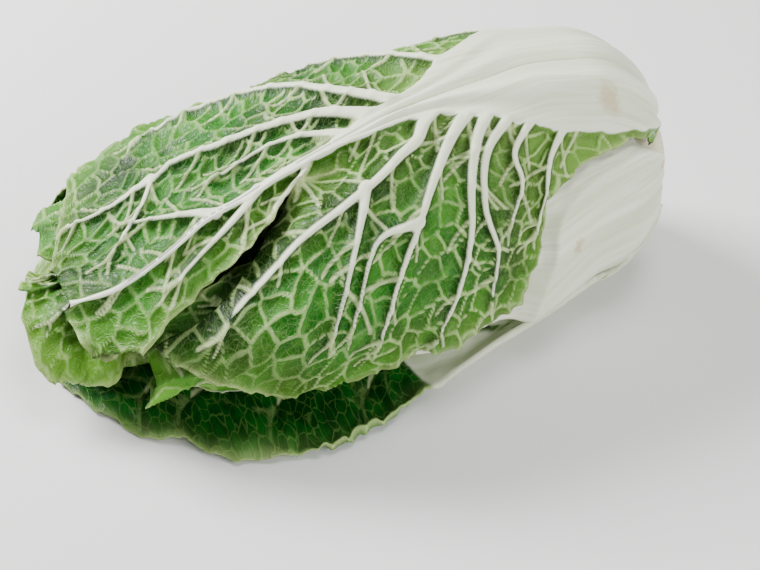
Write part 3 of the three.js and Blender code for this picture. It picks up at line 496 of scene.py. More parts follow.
def leaf_grid(leaf):
    """Spots of the leaf as (s, angle), its faces, and where its margin runs."""
    mid = curve(leaf["mid"])
    half = curve([row[:2] for row in leaf["stalk"]])
    pitch = leaf["pitch"]
    seam_end = leaf.get("seam_end", 999)
    spots, faces, margin = {}, [], []

    def add(s, angle):
        key = (round(float(s) * 200), round(float(angle) * 200))
        return spots.setdefault(key, (len(spots), float(s), float(angle)))[0]

    for name in [key for key in leaf if key in SIDES]:
        side, tip = SIDES[name], name == "tip"
        rows = given = [row if len(row) == 4 else (row[0], None, *row[1:]) for row in leaf[name]]
        if not tip:
            extra = [leaf["stalk"][0][0] - k * 9.5 for k in range(6)]
            rows = [(s, None, s, None) for s in extra if s > rows[0][0] + 9] + rows

        def end(row, k):
            s, angle = row[k], row[k + 1]
            if angle is not None:
                return s, angle
            if k == 0 or tip:
                return s, float(mid(s))
            return s, float(mid(s) + side * half(s) * turn(s, mid(s)))

        inner_ends = [end(row, 0) for row in rows]
        outer_ends = [end(row, 2) for row in rows]
        inner_line, outer_line = curve(inner_ends), curve(outer_ends)
        samples, width = [], 0
        for k in range(len(rows) - 1):
            (s0, _), (s1, a1) = inner_ends[k:k + 2]
            (s2, _), (s3, a3) = outer_ends[k:k + 2]
            span = abs(s1 - s0)
            if rows[k + 1][1] is None:
                span = max(span, abs(s3 - s2))
            n = max(1, math.ceil(1.12 * span / pitch))
            samples += [(k, m / n) for m in range(n)]
            width = max(width, math.hypot((a3 - a1) / turn(s3, a1), s3 - s1))
        samples.append((len(rows) - 2, 1.0))
        columns = math.ceil(width / pitch)
        across = np.linspace(0, 1, columns + 1) ** 0.94
        index = []
        for k, t in samples:
            s0, a0 = (a + (b - a) * t for a, b in zip(*inner_ends[k:k + 2]))
            s1, a1 = (a + (b - a) * t for a, b in zip(*outer_ends[k:k + 2]))
            if rows[k + 1][1] is None:
                a0 = float(mid(s0))
            elif s0 < seam_end:
                a0 = float(inner_line(s0))
            if not (tip and s1 >= seam_end):
                a1 = float(outer_line(s1))
            index.append([add(s0 + (s1 - s0) * x, a0 + (a1 - a0) * x) for x in across])
        for i in range(1, len(index)):
            for c in range(columns):
                ring = [index[i - 1][c], index[i - 1][c + 1], index[i][c + 1], index[i][c]]
                if side < 0:
                    ring = [ring[0], ring[3], ring[2], ring[1]]
                kept = list(dict.fromkeys(ring))
                if len(kept) > 2:
                    faces.append(kept)
        margin.append([end(row, 2) for row in given[TIP_JOINED if tip else 0:]])
    order = sorted(spots.values())
    s = np.array([x[1] for x in order])
    angle = np.array([x[2] for x in order])
    return s, angle, faces, margin


def sprout(start, way, leans, length):
    """A short line in three steps, each leaning away from the way by its own angle."""
    heads = [start]
    for lean in leans:
        c, n = math.cos(lean), math.sin(lean)
        turned = np.array([way[0] * c - way[1] * n, way[0] * n + way[1] * c])
        heads.append(heads[-1] + turned * length / 3)
    return rounded_line(heads, 3)


def branches(parents, seed):
    """Side veins that leave their parents in turn to the left and the right."""
    out = []
    for number, (line, width, first) in enumerate(parents):
        steps = np.hypot(*np.diff(line, axis=0).T)
        done = np.concatenate([[0], np.cumsum(steps)])
        total, at, k = done[-1], first, 0
        while at < total - 4:
            a, b, c = (float(chance(np.array([number * 97 + k]), np.array([m]), seed)[0])
                       for m in (1, 2, 3))
            i = int(np.searchsorted(done, at)) - 1
            spot = line[i] + (line[i + 1] - line[i]) * (at - done[i]) / max(steps[i], 1e-6)
            way = (line[i + 1] - line[i]) / max(steps[i], 1e-6)
            side = 1 if k % 2 else -1
            leans = [side * (38 + 24 * a - m * (14 * c - 2)) * RAD for m in range(3)]
            part = at / total
            line_out = sprout(spot, way, leans, (20 + 20 * b) * (1 - 0.5 * part))
            out.append((line_out, min(width * 0.5, 2.3) * (1 - 0.3 * part)))
            at += 13.0 + 8.0 * c
            k += 1
    return out


def forks(lines):
    """Where a rib runs out it parts into two small veins."""
    out = []
    for line in lines:
        way = line[-1] - line[-3]
        way = way / max(np.hypot(*way), 1e-6)
        for side, length in ((-1, 15.0), (1, 19.0)):
            leans = [side * lean for lean in (0.15, 0.55, 0.4)]
            out.append((sprout(line[-1] - 3 * way, way, leans, length), 2.6))
    return out


def leaf_shade(name, s, angle):
    """Painted shade where a leaf lies deep below the others, under the top leaf's slit."""
    if name == "side_leaf":
        return smooth(-10, -40, s) * smooth(94, 82, angle)
    if name == "inner_leaf":
        return smooth(-150, -118, s) * smooth(22, 36, angle) * smooth(96, 82, angle)
    return np.zeros_like(s)


def stalk_part(leaf, s, angle, w):
    """Where the stalk runs: how far it reaches, how white a spot is, its place across."""
    half = curve([row[:2] for row in leaf["stalk"]])
    join, seed, tip = leaf["join"], leaf["seed"], leaf["mid"][-1][0]
    fade = smooth(join, join + 50, s)
    run_out = np.clip((join - s) / (join - tip), 0, 1)
    reach = np.where(s > join, half(s), 0) + (s <= join) * (3.0 - 2.3 * run_out ** 0.7)
    soft = 1.4 + 2.4 * fade
    slant = s + 0.7 * w
    feather = fade * (1.9 * grain(slant, 0.25 * w, 9.0, seed + 31)
                      + 0.6 * grain(slant, 0.25 * w, 3.6, seed + 32))
    feather += leaf.get("far_white", 0) * (w < 0) * smooth(18, 60, s) * smooth(118, 84, s)
    white = smooth(reach + feather + soft, reach + feather - 0.4 * soft, abs(w))
    white_end = leaf.get("white_end", -400)
    white = white * smooth(white_end, white_end + 30, s)
    if leaf.get("white_side"):
        along = s + 0.5 * (angle - 120) + 9 * grain(s, w, 16, seed + 33)
        white = np.maximum(white, smooth(2, 32, along) * smooth(140, 130, angle))
    share = np.clip(w / np.maximum(reach, 0.5), -1, 1)
    return half, fade, run_out, reach, white, share


def vein_part(leaf, s, w, width_of, half, fade, run_out, reach):
    """Ribs and side veins: how high they stand, and how far each spot lies from their edges."""
    join, tip = leaf["join"], leaf["mid"][-1][0]
    ridge, rib_edge = np.zeros_like(s), np.full_like(s, FAR_OFF)
    from_rib = np.maximum(abs(w) - reach * (s > join), 0)
    parents = []
    for width, height, *points in leaf["ribs"]:
        p = np.array(points, float)
        line = rounded_line(np.stack([p[:, 0], width_of(p[:, 0], p[:, 1])], axis=-1), 3)
        parents.append((line, width, 9.0))
        d, part = line_distance(s, w, line)
        wide = (width * 0.44 * (0.16 + 0.84 * (1 - part) ** 1.35) + 0.42
                + 1.5 * np.exp(-part / 0.1))
        high = height * (0.16 + 0.84 * (1 - part)) * smooth(1.0, 0.7, part)
        ridge = np.maximum(ridge, high * smooth(wide * 1.55, wide * 0.35, d))
        edge = d - np.maximum(0.9 * wide, 0.85) + 3.0 * smooth(0.93, 1.0, part)
        rib_edge = np.minimum(rib_edge, edge)
        from_rib = np.minimum(from_rib, np.maximum(d - 0.7 * wide, 0) + 1.5 * part ** 3)
    crest = (0.6 + 1.8 * (1 - run_out)) * smooth(reach + 2.4, reach * 0.2, abs(w)) * (1 - fade)
    ridge = np.maximum(ridge, crest)

    # side veins leave the ribs, the midrib and the edges of the stalk
    ribs = [line for line, _, _ in parents]
    down = np.linspace(join + 60, tip + 10, 60)
    low = np.linspace(CAP_START - 10, join + 60, 40)
    for stations, reaches, first in ((down, 0.9 * np.where(down > join, half(down), 1.5), 2.0),
                                     (low, 0.96 * half(low), 3.0)):
        for sign in (-1, 1):
            parents.append((np.stack([stations, sign * reaches], axis=-1), 5.0, first + sign))
    thin_edge, from_vein = np.full_like(s, FAR_OFF), np.full_like(s, 30.0)
    for line, width in branches(parents, leaf["seed"] + 50) + forks(ribs):
        d, part = line_distance(s, w, line)
        wide = 0.5 + 0.36 * width * (1 - 0.8 * part)
        ridge = np.maximum(ridge, 0.9 * (1 - 0.5 * part) * smooth(wide * 1.6, 0.1, d))
        edge = d - np.maximum(0.85 * wide - 0.3 * part, 0.78) + 3.0 * smooth(0.85, 1.0, part)
        thin_edge = np.minimum(thin_edge, edge)
        from_vein = np.minimum(from_vein, np.maximum(d - 0.5 * wide, 0) + 2.5 * part)
    return ridge, rib_edge, thin_edge, from_rib, from_vein


def net_part(s, w, from_rib, from_vein, seed):
    """The raised net, and cells that sink between its threads."""
    warped = [c + 2.6 * grain(s, w, 12, seed + k) + 0.8 * grain(s, w, 5, seed + k + 1)
              for c, k in ((s, 5), (w, 7))]
    border, number, du, dw = cells(warped[0], warped[1] * 1.12, CELL, seed + 9)
    away = smooth(0.4, 3.0, from_rib)
    line = np.exp(-(border / 0.9) ** 2) * away
    thread = (0.6 + 0.4 * grain(s, w, 16, seed + 12)) * (1 - 0.35 * smooth(-40, -90, s))
    raised = np.exp(-(border / 0.7) ** 2) * away * thread
    bowl = 1 - np.exp(-(np.minimum(border, from_vein + 0.4) / 1.9) ** 2)
    other = chance(np.floor(number * 9999), 0 * s, 3)
    tilt = 0.05 * ((number - 0.5) * du + (other - 0.5) * dw) * away
    return line, thread, raised, number, (1.0 + 1.3 * number) * bowl * away, tilt


def leaf_form(leaf, s, angle, margin):
    """Outer and inner radius of every spot, and what its material needs to know."""
    mid, seed, phase = curve(leaf["mid"]), leaf["seed"], leaf["phase"]
    thick = curve([(row[0], row[2]) for row in leaf["stalk"]])
    crown = leaf.get("form", head_radius)(s, angle)
    if not leaf.get("outermost"):
        crown = np.minimum(crown, room.ceiling(leaf.get("loose", 0.0))(s, angle))

    def flat(p, q):
        """The plain spread of the leaf, as the part's source measures it."""
        return np.stack([p, q / turn(np.minimum(p, ROUND_END), mid(p))], axis=-1)

    x, y = flat(s, angle).T
    edges = [flat(*np.array(line, float).T) for line in margin]
    from_margin = np.minimum.reduce([line_distance(x, y, rounded_line(e, 5))[0] for e in edges])

    # the spread in true millimetres, for everything finer
    width_of = around(mid)
    w = width_of(s, angle)
    half, fade, run_out, reach, white, share = stalk_part(leaf, s, angle, w)
    ridge, rib_edge, thin_edge, from_rib, from_vein = vein_part(
        leaf, s, w, width_of, half, fade, run_out, reach)
    net_line, thread, net, number, cell_sink, tilt = net_part(s, w, from_rib, from_vein, seed)

    # ruffle of the margin, as the source has it, and finer frills on top
    wave = 0.6 * np.sin(x / 7.1 + y / 19 + phase) + 0.4 * np.sin(x / 4.3 - y / 11 + 2 * phase)
    ruffle = leaf["ruffle"] * np.exp(-from_margin / 16) * (0.5 + 0.5 * wave)
    frill = (2.2 * np.exp(-from_margin / 8) * grain(s + 0.4 * w, w - 0.4 * s, 8.5, seed + 1)
             + 1.0 * np.exp(-from_margin / 4) * grain(s, w, 4.2, seed + 2))
    frill *= 1 - leaf.get("calm", 0) * smooth(10, 50, s)
    sink = leaf["sink"](s, angle) if "sink" in leaf else 0
    settled = 1 - np.exp(-(from_rib / 8) ** 2)
    valley = 1.5 * smooth(0.3, 3.4, from_rib) + 0.8 * smooth(0.2, 2.6, from_vein)
    crumple = (1.9 * grain(s, w, 24, seed + 3) + 0.5 * grain(s, w, 10, seed + 4)) * settled
    fine_line = np.sin(w * 1.9 + 0.02 * s + phase) * (0.5 + 0.5 * grain(s, w, 22, seed))
    groove = fade * (1.25 + 1.25 * np.cos(share * 9.4 + phase) + 1.3 * share ** 4
                     + 0.35 * grain(0.12 * s, w, 5.5, seed + 60) + 0.12 * fine_line)

    blade = (RIB_ROOM - 0.6 + ruffle + leaf["pucker"] * settled + valley + sink + cell_sink
             - crumple - frill - tilt)
    base = crown - white * groove - (1 - white) * blade
    outer = base + (1 - white) * np.maximum(ridge, 0.6 * net)
    stalk_end = smooth(leaf["join"] - 5, leaf["join"] + 45, s)
    body = BLADE + white * stalk_end * np.maximum(0, thick(s) * (1 - 0.35 * share ** 2) - BLADE)
    body += 0.45 * ridge * (1 - white)

    beside = np.maximum(abs(w) - reach, 0)
    data = dict(
        stalk=white, vein=rib_edge, small=thin_edge, net=net_line, thread=thread,
        # painted shade in the valleys beside the ribs and veins
        rib_valley_shade=smooth(7.0, 0.8, np.minimum(from_rib, from_vein + 2.4)) * (1 - white),
        # sunk: the cells' own deeper green in their middles, partly painted shade in their hollows
        cell=number, sunk=np.clip(cell_sink / 2.2, 0, 1) * (1 - white),
        rim=np.exp(-from_margin / 1.1), margin=np.exp(-from_margin / 22),
        # painted shade: in the valley beside the top leaf's slit, and on the leaves deep under it
        shade=np.clip(sink / 12, 0, 1) + leaf_shade(leaf["name"], s, angle),
        pale=np.exp(-beside / np.where(w < 0, 34, 32)) * smooth(-30, 60, s)
        * np.where(w < 0, 1.0, 0.75),
        # groove: how deep the stalk's grooves run, for a greener grey that is partly its own tone and
        # partly painted shade
        groove=np.clip(groove / 2.0, 0, 1) * white, u=s, w=w)
    return outer, base - body, data


def leaf_mesh(leaf):
    """A leaf as one closed sheet: its points, its faces and the fields of its material."""
    s, angle, faces, margin = leaf_grid(leaf)
    outer, inner, data = leaf_form(leaf, s, angle, margin)
    # the cut of the margin: scallops and small teeth, along the leaf's own spread
    w, seed = data["w"], leaf["seed"]
    jag = 1.6 * leaf["scallop"] * grain(s, w, 11, seed + 40) + 1.0 * grain(s, w, 4.6, seed + 41)
    jag *= 1 - leaf.get("calm", 0) * smooth(10, 50, s)
    pull = np.clip(data["margin"] ** 2.5, 0, 1) * jag
    keep = smooth(0.0, 1.0, np.clip(data["margin"] * 1.2, 0, 1))
    s_cut = s + 0.55 * pull * keep
    angle_cut = angle + np.sign(w) * 0.8 * pull * turn(np.minimum(s, ROUND_END), angle) * keep
    top = place(s_cut, angle_cut, outer)
    low = place(s_cut, angle_cut, inner)
    # what lies on the surface is flattened by the head's weight
    pressed = abs(angle) > PRESSED_FROM
    top[:, 2] = np.where(pressed, np.maximum(top[:, 2], REST_CUT), top[:, 2])
    lowest = top[:, 2] + PRESSED_BLADE * abs(np.cos(angle * RAD))
    low[:, 2] = np.where(pressed, np.maximum(low[:, 2], lowest), low[:, 2])
    room.claim(s, angle, inner)

    n = len(s)
    points = (np.vstack([top, low]) + ORIGIN) * MM
    polygons = [list(f) for f in faces] + [[k + n for k in reversed(f)] for f in faces]
    sides = dict.fromkeys((a, b) for f in faces for a, b in zip(f, f[1:] + f[:1]))
    polygons += [[b, a, a + n, b + n] for a, b in sides if (b, a) not in sides]
    both = {key: np.concatenate([value, value]) for key, value in data.items()}
    both["inner"] = np.concatenate([np.zeros(n), np.ones(n)])
    return points, polygons, both


def mesh_object(name, points, polygons, data, material):
    """An object of these faces, turned to look outward, with its fields for the material."""
    mesh = bpy.data.meshes.new(name)
    outward = [list(reversed(polygon)) for polygon in polygons]
    mesh.from_pydata([tuple(p) for p in points], [], outward)
    mesh.validate()
    for key, values in data.items():
        layer = mesh.attributes.new(key, "FLOAT", "POINT")
        layer.data.foreach_set("value", np.asarray(values, dtype=np.float32))
    mesh.materials.append(material)
    mesh.polygons.foreach_set("use_smooth", [True] * len(mesh.polygons))
    mesh.update()
    obj = bpy.data.objects.new(name, mesh)
    bpy.context.scene.collection.objects.link(obj)
    return obj


class Nodes:
    """Short forms for building a material."""

    def __init__(self, name):
        self.material = bpy.data.materials.new(name)
        self.material.use_nodes = True
        self.tree = self.material.node_tree
        self.shader = self.tree.nodes["Principled BSDF"]

    def put(self, sockets, values):
        """Gives each named socket a value or a link."""
        for key, value in values.items():
            socket = sockets[key]
            if isinstance(value, bpy.types.NodeSocket):
                self.tree.links.new(value, socket)
            elif socket.type == "RGBA":
                socket.default_value = (*value, 1)
            else:
                socket.default_value = value

    def new(self, kind, inputs, **settings):
        node = self.tree.nodes.new(kind)
        for key, value in settings.items():
            setattr(node, key, value)
        self.put(node.inputs, inputs)
        return node

    def surface(self, **inputs):
        self.put(self.shader.inputs, {key.replace("_", " "): inputs[key] for key in inputs})
        return self.material

    def field(self, name):
        return self.new("ShaderNodeAttribute", {}, attribute_name=name).outputs["Fac"]

    def math(self, operation, a, b=0.0, clamp=False):
        return self.new("ShaderNodeMath", {0: a, 1: b}, operation=operation,
                        use_clamp=clamp).outputs[0]

    def mix(self, amount, a, b):
        return self.new("ShaderNodeMix", {0: amount, 6: a, 7: b}, data_type="RGBA",
                        clamp_factor=True).outputs[2]

    def paint(self, colour, layers):
        """Lays colours over one another, each as where it goes, how strongly, and the colour."""
        for where, strength, over in layers:
            colour = self.mix(self.math("MULTIPLY", where, strength, True), colour, over)
        return colour

    def span(self, value, low, high, out_low=0.0, out_high=1.0):
        """Takes a value from one range to another, with soft ends."""
        inputs = dict(enumerate((value, low, high, out_low, out_high)))
        return self.new("ShaderNodeMapRange", inputs, interpolation_type="SMOOTHSTEP").outputs[0]

    def noise(self, vector, scale, detail=3.0, rough=0.55, output="Fac"):
        return self.new("ShaderNodeTexNoise", {"Vector": vector, "Scale": scale,
                        "Detail": detail, "Roughness": rough}).outputs[output]

    def threads(self, vector, scale, width):
        """Thin lines between irregular cells."""
        node = self.new("ShaderNodeTexVoronoi", {"Vector": vector, "Scale": scale},
                        feature="DISTANCE_TO_EDGE")
        return self.span(node.outputs["Distance"], 0.0, width, 1.0, 0.0)

    def relief(self, height, strength, distance):
        return self.new("ShaderNodeBump", {"Strength": strength, "Distance": distance,
                        "Height": height}).outputs[0]


def srgb(r, g, b):
    """A colour as it looks on a screen, 0 to 255, for the shader."""
    return tuple(((c / 255 + 0.055) / 1.055) ** 2.4 if c > 10.3 else c / 255 / 12.92
                 for c in (r, g, b))


PATTERN_STEP = 7.0  # shifts the pattern from leaf to leaf, by the length of the name


def leaf_material(name, dark, green, light, yellow=0.0, stain=()):
    """White stalk, cream veins, green cells: the fields of the mesh say which is where."""
    m = Nodes(name)
    dark, green, light = (srgb(*colour) for colour in (dark, green, light))
    u, w = m.field("u"), m.field("w")
    flat = m.new("ShaderNodeCombineXYZ", {0: u, 1: w, 2: PATTERN_STEP * len(name)}).outputs[0]
    # the colour of the painted shade: a darker copy of the leaf's dark green
    shade_green = tuple(0.45 * c for c in dark)
    vein_edge, small_edge = m.field("vein"), m.field("small")
    vein = m.span(vein_edge, -0.6, 0.6, 1.0, 0.0)
    small = m.span(small_edge, -0.8, 0.75, 1.0, 0.0)
    # painted shadow: a thin dark line just outside the edges of the ribs and veins
    vein_shadow_line = m.math("MAXIMUM", m.span(vein_edge, 0.3, 2.2, 0.55, 0.0),
                     m.span(small_edge, 0.3, 1.5, 0.35, 0.0))
    net = m.math("MULTIPLY", m.span(m.field("net"), 0.15, 0.8), m.field("thread"))
    stalk, rim = m.span(m.field("stalk"), 0.34, 0.66), m.field("rim")
    warp = m.noise(flat, 0.16, 2.0, 0.5, "Color")
    crooked = m.new("ShaderNodeVectorMath", {0: warp, 1: (5.0, 5.0, 0.0), 2: flat},
                    operation="MULTIPLY_ADD").outputs[0]
    coarse, tiny = m.threads(crooked, 0.21, 0.07), m.threads(crooked, 0.5, 0.13)
    mottle = m.noise(flat, 0.11, 4.0, 0.6)

    lamina = m.mix(m.span(m.noise(flat, 0.021, 2.0), 0.32, 0.68), dark, green)
    lamina = m.paint(lamina, (
        (m.span(mottle, 0.5, 0.74), 0.34, light),
        (m.math("SUBTRACT", m.field("cell"), 0.5, True), 0.5, light),
        # the cells' own deeper green, partly painted shade in the hollows of the cells
        (m.field("sunk"), 0.3, dark),
        (m.span(m.field("margin"), 0.2, 0.95), 0.26 + yellow, srgb(112, 164, 36)),
        (m.field("pale"), 0.68, srgb(150, 192, 88)),
        # painted shade in the valleys beside the ribs and veins
        (m.field("rib_valley_shade"), 0.5, shade_green),
        (vein_shadow_line, 1.0, shade_green),
        # painted shade in the slit and on the leaves under it
        (m.field("shade"), 0.92, shade_green),
        (tiny, 0.08, srgb(150, 186, 100)),
        (coarse, 0.13, srgb(160, 192, 110)),
        (net, 0.74, srgb(186, 214, 138)),
        (small, 0.78, srgb(204, 223, 160)),
        (vein, 0.97, srgb(230, 237, 206)),
        (rim, 0.6, srgb(196, 214, 140))))
    back = m.paint(dark, (
        (m.span(mottle, 0.4, 0.7), 0.7, green),
        (coarse, 0.4, srgb(120, 156, 80)),
        (small, 0.35, srgb(150, 182, 108)),
        (vein, 0.85, srgb(196, 212, 160)),
        (rim, 0.5, srgb(170, 196, 120))))
    lamina = m.mix(m.field("inner"), lamina, back)

    drawn_out = m.new("ShaderNodeMapping", {"Vector": flat, "Scale": (0.05, 1.0, 1.0)}).outputs[0]
    streaks = m.noise(drawn_out, 0.42, 4.0, 0.6)
    white = m.mix(m.span(streaks, 0.42, 0.66), srgb(243, 243, 225), srgb(220, 227, 198))
    white = m.paint(white, (
        # greener grey in the stalk's grooves: partly the stalk's own tone, partly painted shade
        (m.field("groove"), 0.5, srgb(200, 213, 178)),
        (m.span(m.noise(flat, 0.05, 3.0), 0.5, 0.75), 0.3, srgb(214, 224, 188))))
    for x, y, size in stain:
        du, dw = m.math("SUBTRACT", u, x), m.math("SUBTRACT", w, y)
        away = m.math("ADD", m.math("MULTIPLY", du, du),
                      m.math("MULTIPLY", m.math("MULTIPLY", dw, dw), 0.35))
        rough = m.math("MULTIPLY", m.math("SUBTRACT", m.noise(flat, 0.35), 0.5), 7.0)
        away = m.math("ADD", m.math("SQRT", away), rough)
        white = m.mix(m.span(away, size * 0.4, size * 1.5, 0.75, 0.0), white,
                      srgb(196, 178, 138))

    fine = m.noise(flat, 0.3, 3.0)
    bump = m.math("ADD", m.math("MULTIPLY", tiny, 0.2), m.math("MULTIPLY", coarse, 0.3))
    bump = m.math("ADD", bump, m.math("MULTIPLY", fine, 0.3))
    calm = m.math("MAXIMUM", stalk, m.math("MULTIPLY", vein, 0.9))
    bump = m.math("MULTIPLY", bump, m.math("SUBTRACT", 1.0, m.math("MULTIPLY", calm, 0.95)))
    bump = m.math("ADD", bump, m.math("MULTIPLY", m.math("MULTIPLY", streaks, stalk), 0.4))
    return m.surface(Base_Color=m.mix(stalk, lamina, white), IOR=1.42, Specular_IOR_Level=0.2,
                     Roughness=m.span(fine, 0.3, 0.7, 0.31, 0.46), Normal=m.relief(bump, 0.7, MM))


# Outer leaves come first, because each leaf takes the room that the ones before it left
leaves = (BOTTOM, BACK_LOW, TOP, BACK, SIDE, INNER)
nodes_of = {leaf["name"]: (leaf["name"] + "_blade", leaf["name"] + "_ribs") for leaf in leaves}
for leaf in leaves:
    name = leaf["name"]
    points, polygons, data = leaf_mesh(leaf)
    obj = mesh_object(name, points, polygons, data, leaf_material(name, **leaf["coat"]))
    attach(obj, "root")
    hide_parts(*nodes_of[name])


def ring_faces(first, rings, columns, start_point, end_point):
    """Faces between rings of points, and the fans that close them at either end."""
    polygons, last = [], first + (rings - 1) * columns
    for j in range(columns):
        k = (j + 1) % columns
        polygons += [[i + j, i + columns + j, i + columns + k, i + k]
                     for i in range(first, last, columns)]
        polygons.append([first + k, start_point, first + j])
        polygons.append([last + j, end_point, last + k])
    return polygons


# The heart: tight wrapped leaves inside the others, their edges standing up as steps
HEART_FIRST = -178.0
HEART_LAST = 205.0
EDGE_EVERY = 72.0
EDGE_SHARE = 0.06


def heart_mesh():
    """Rings of points along the head, closed by a point at either end, and their fields."""
    under = room.ceiling()
    rows, columns = 190, 250
    s = np.linspace(HEART_FIRST, HEART_LAST, rows + 1)[:, None] * np.ones((1, columns))
    angle = np.ones((rows + 1, 1)) * (360.0 * np.arange(columns) / columns)[None, :]
    w = angle * head_radius(s, angle) * RAD
    close = np.sqrt(np.maximum(0, 1 - (1 - smooth(HEART_FIRST - 4, HEART_FIRST + 46, s)) ** 2))
    turns = (angle + 0.55 * s) / EDGE_EVERY + 0.05 * grain(s, w, 40, 71)
    step = turns - np.floor(turns)
    step = np.where(step > 1 - EDGE_SHARE, (1 - step) / EDGE_SHARE, step / (1 - EDGE_SHARE))
    wave = 1.2 * np.sin(s / 9 + angle / 14.4) * smooth(-40, -120, s)
    border, number, _, _ = cells(s + 2.5 * grain(s, w, CELL, 72), w, CELL, 73)
    net = np.exp(-(border / 1.1) ** 2)
    leafy = smooth(40, -60, s)
    bowl = (0.5 + number) * (1 - np.exp(-(border / 3.0) ** 2)) * leafy
    base = np.minimum(under(s, angle), head_radius(s, angle) - 8)
    points = place(s, angle, (base - 2.6 * step - 1.2 - wave - bowl) * close).reshape(-1, 3)
    # the two end points lie on the axis
    zero, last = np.array([0.0]), np.array([HEART_LAST])
    first = place(np.array([HEART_FIRST]), zero, zero)[0]
    last_x = place(last, zero, 0.9 * under(last, zero))[0][0]
    points = np.vstack([points, first, [last_x, 0, float(axis_height(HEART_LAST))]])
    points[:, 2] = np.maximum(points[:, 2], REST_CUT + 2.5)

    polygons = ring_faces(0, rows + 1, columns, len(points) - 2, len(points) - 1)
    fields = dict(u=s, w=w, net=net * leafy, cell=number, stalk=smooth(-20, 90, s),
                  rim=np.exp(-((1 - step) / 0.04) ** 2))
    data = {key: np.append(value.ravel(), [0.0, 0.0]) for key, value in fields.items()}
    plain = dict.fromkeys(("rib_valley_shade", "sunk", "pale", "margin", "inner", "groove", "shade"), 0.0)
    plain.update(vein=FAR_OFF, small=FAR_OFF, thread=1.0)
    data.update((key, np.full(len(points), value)) for key, value in plain.items())
    return (points + ORIGIN) * MM, polygons, data


points, polygons, data = heart_mesh()
heart = mesh_object("heart_leaves", points, polygons, data, leaf_material(
    "heart", dark=(96, 140, 56), green=(140, 174, 84), light=(188, 206, 128)))
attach(heart, "root")
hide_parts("heart")


# The cut stem: a turned plug, its face a little rough and browned in spots
def stem_mesh():
    """Rings of points from the hidden end to the cut face, closed by a point at either end."""
    sides, start, face_edge = 96, STEM_FACE - STEM_LENGTH, STEM_RADIUS - 1.8
    profile = [(STEM_RADIUS - 3, 0.0), (STEM_RADIUS - 0.6, 20.0), (STEM_RADIUS, STEM_LENGTH - 3),
               (STEM_RADIUS - 0.5, STEM_LENGTH - 1.0)]
    profile += [(face_edge - 2.0 * k, STEM_LENGTH) for k in range(11)]
    points = [(start, 0.0, 0.0)]
    for radius, height in profile:
        dent = 0.3 * abs(math.sin(radius * 0.8)) * (height >= STEM_LENGTH - 0.5)
        for k in range(sides):
            a = 2 * math.pi * k / sides
            out = 0.985 * radius * (1 + 0.012 * math.sin(5 * a) + 0.008 * math.sin(9 * a + 1))
            points.append((start + height - dent, out * math.cos(a), out * math.sin(a)))
    points.append((STEM_FACE - 0.2, 0.0, 0.0))
    polygons = ring_faces(1, len(profile), sides, 0, len(points) - 1)
    points = np.array(points) + np.array([0, 0, float(axis_height(CAP_START))]) + ORIGIN
    return points * MM, polygons


def stem_material():
    m = Nodes("stem")
    spot = m.new("ShaderNodeTexCoord", {}).outputs["Object"]
    rough = m.noise(spot, 90.0, 5.0, 0.6)
    colour = m.mix(m.span(rough, 0.35, 0.7), srgb(232, 226, 200), srgb(206, 196, 158))
    brown = m.span(m.noise(spot, 320.0, 3.0), 0.55, 0.75)
    return m.surface(Base_Color=m.mix(brown, colour, srgb(176, 160, 120)), Roughness=0.75,
                     Normal=m.relief(rough, 0.5, 0.8 * MM))


points, polygons = stem_mesh()
stem = mesh_object("stem_cut", points, polygons, {}, stem_material())
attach(stem, "root")
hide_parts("stem")

# Floor, light and camera
floor_mesh = bpy.data.meshes.new("floor")
reach = 3.0
floor_mesh.from_pydata([(x, y, 0) for x, y in ((-reach, -reach), (reach, -reach),
                                               (reach, reach), (-reach, reach))],
                       [], [[0, 1, 2, 3]])
floor = bpy.data.objects.new("floor", floor_mesh)
bpy.context.scene.collection.objects.link(floor)
floor_mesh.materials.append(
    Nodes("floor_pale").surface(Base_Color=(0.8, 0.8, 0.79), Roughness=0.9))

world = bpy.data.worlds.new("studio")
world.use_nodes = True
world_inputs = world.node_tree.nodes["Background"].inputs
world_inputs["Color"].default_value = (0.95, 0.98, 1.0, 1)
world_inputs["Strength"].default_value = 0.19
bpy.context.scene.world = world


HEAD_MIDDLE = Vector((0, 0, 0.05))


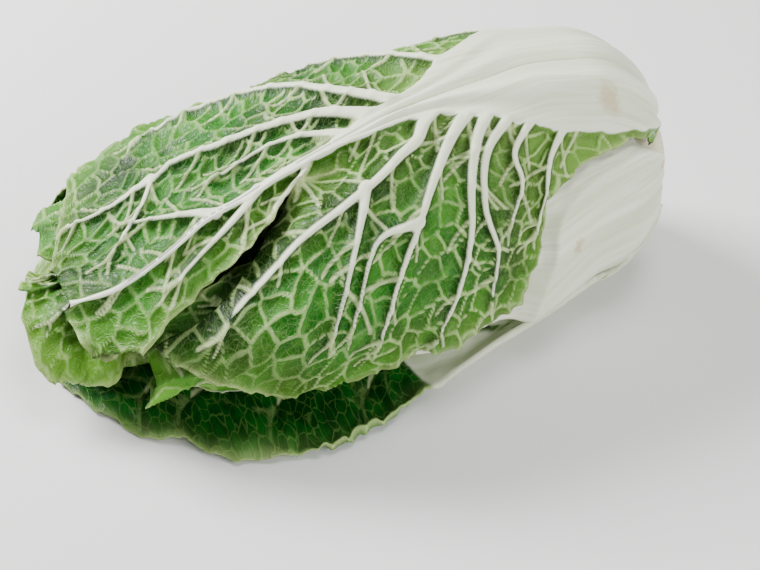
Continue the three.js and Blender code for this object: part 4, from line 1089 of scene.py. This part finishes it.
def softbox(name, at, size, watts):
    """A soft light that looks at the middle of the head."""
    light = bpy.data.lights.new(name, "AREA")
    light.shape = "RECTANGLE"
    light.size, light.size_y = size
    light.energy = watts
    obj = bpy.data.objects.new(name, light)
    obj.location = at
    obj.rotation_euler = (HEAD_MIDDLE - Vector(at)).to_track_quat("-Z", "Y").to_euler()
    bpy.context.scene.collection.objects.link(obj)


softbox("key_upper_left", (-0.75, 0.95, 0.95), (0.7, 0.6), 60.0)
softbox("fill_front", (0.6, -1.4, 0.8), (1.2, 0.8), 25.0)
softbox("top", (0.3, 0.0, 1.6), (0.8, 0.8), 16.0)

# The photo's camera, seen from above the near side
HEAD_TURN = 20.0 * RAD  # the head's length is turned this much in the picture
GROUND_X, GROUND_Y, GROUND_Z = -18.2, 24.3, -25.0
LOOK_DOWN = 39.477 * RAD
ROLL = 2.011 * RAD
DISTANCE = 1100.0
FOCAL_PIXELS = 2012.67
FRAME_PIXELS = 760.0
SENSOR = 36.0


def from_ground(v):
    """A direction of the camera's ground frame, in the frame of the head."""
    c, n = math.cos(HEAD_TURN), math.sin(HEAD_TURN)
    return np.array([v[0] * c + v[1] * n, -v[0] * n + v[1] * c, v[2]])


back = np.array([0, -math.cos(LOOK_DOWN), math.sin(LOOK_DOWN)])
right = np.array([1.0, 0, 0])
up = np.cross(back, right)
rolled_right = math.cos(ROLL) * right + math.sin(ROLL) * up
rolled_up = -math.sin(ROLL) * right + math.cos(ROLL) * up
eye = back * DISTANCE - np.array([GROUND_X, GROUND_Y, GROUND_Z])
eye_part = (from_ground(eye) + ORIGIN) * MM
axes = [from_ground(v) for v in (rolled_right, rolled_up, back)]
camera_data = bpy.data.cameras.new("camera")
camera_data.sensor_width = SENSOR
camera_data.lens = FOCAL_PIXELS / FRAME_PIXELS * SENSOR
camera = bpy.data.objects.new("camera", camera_data)
camera.matrix_world = Matrix([*np.column_stack([*axes, eye_part]).tolist(), [0, 0, 0, 1]])
bpy.context.scene.collection.objects.link(camera)
bpy.context.scene.camera = camera
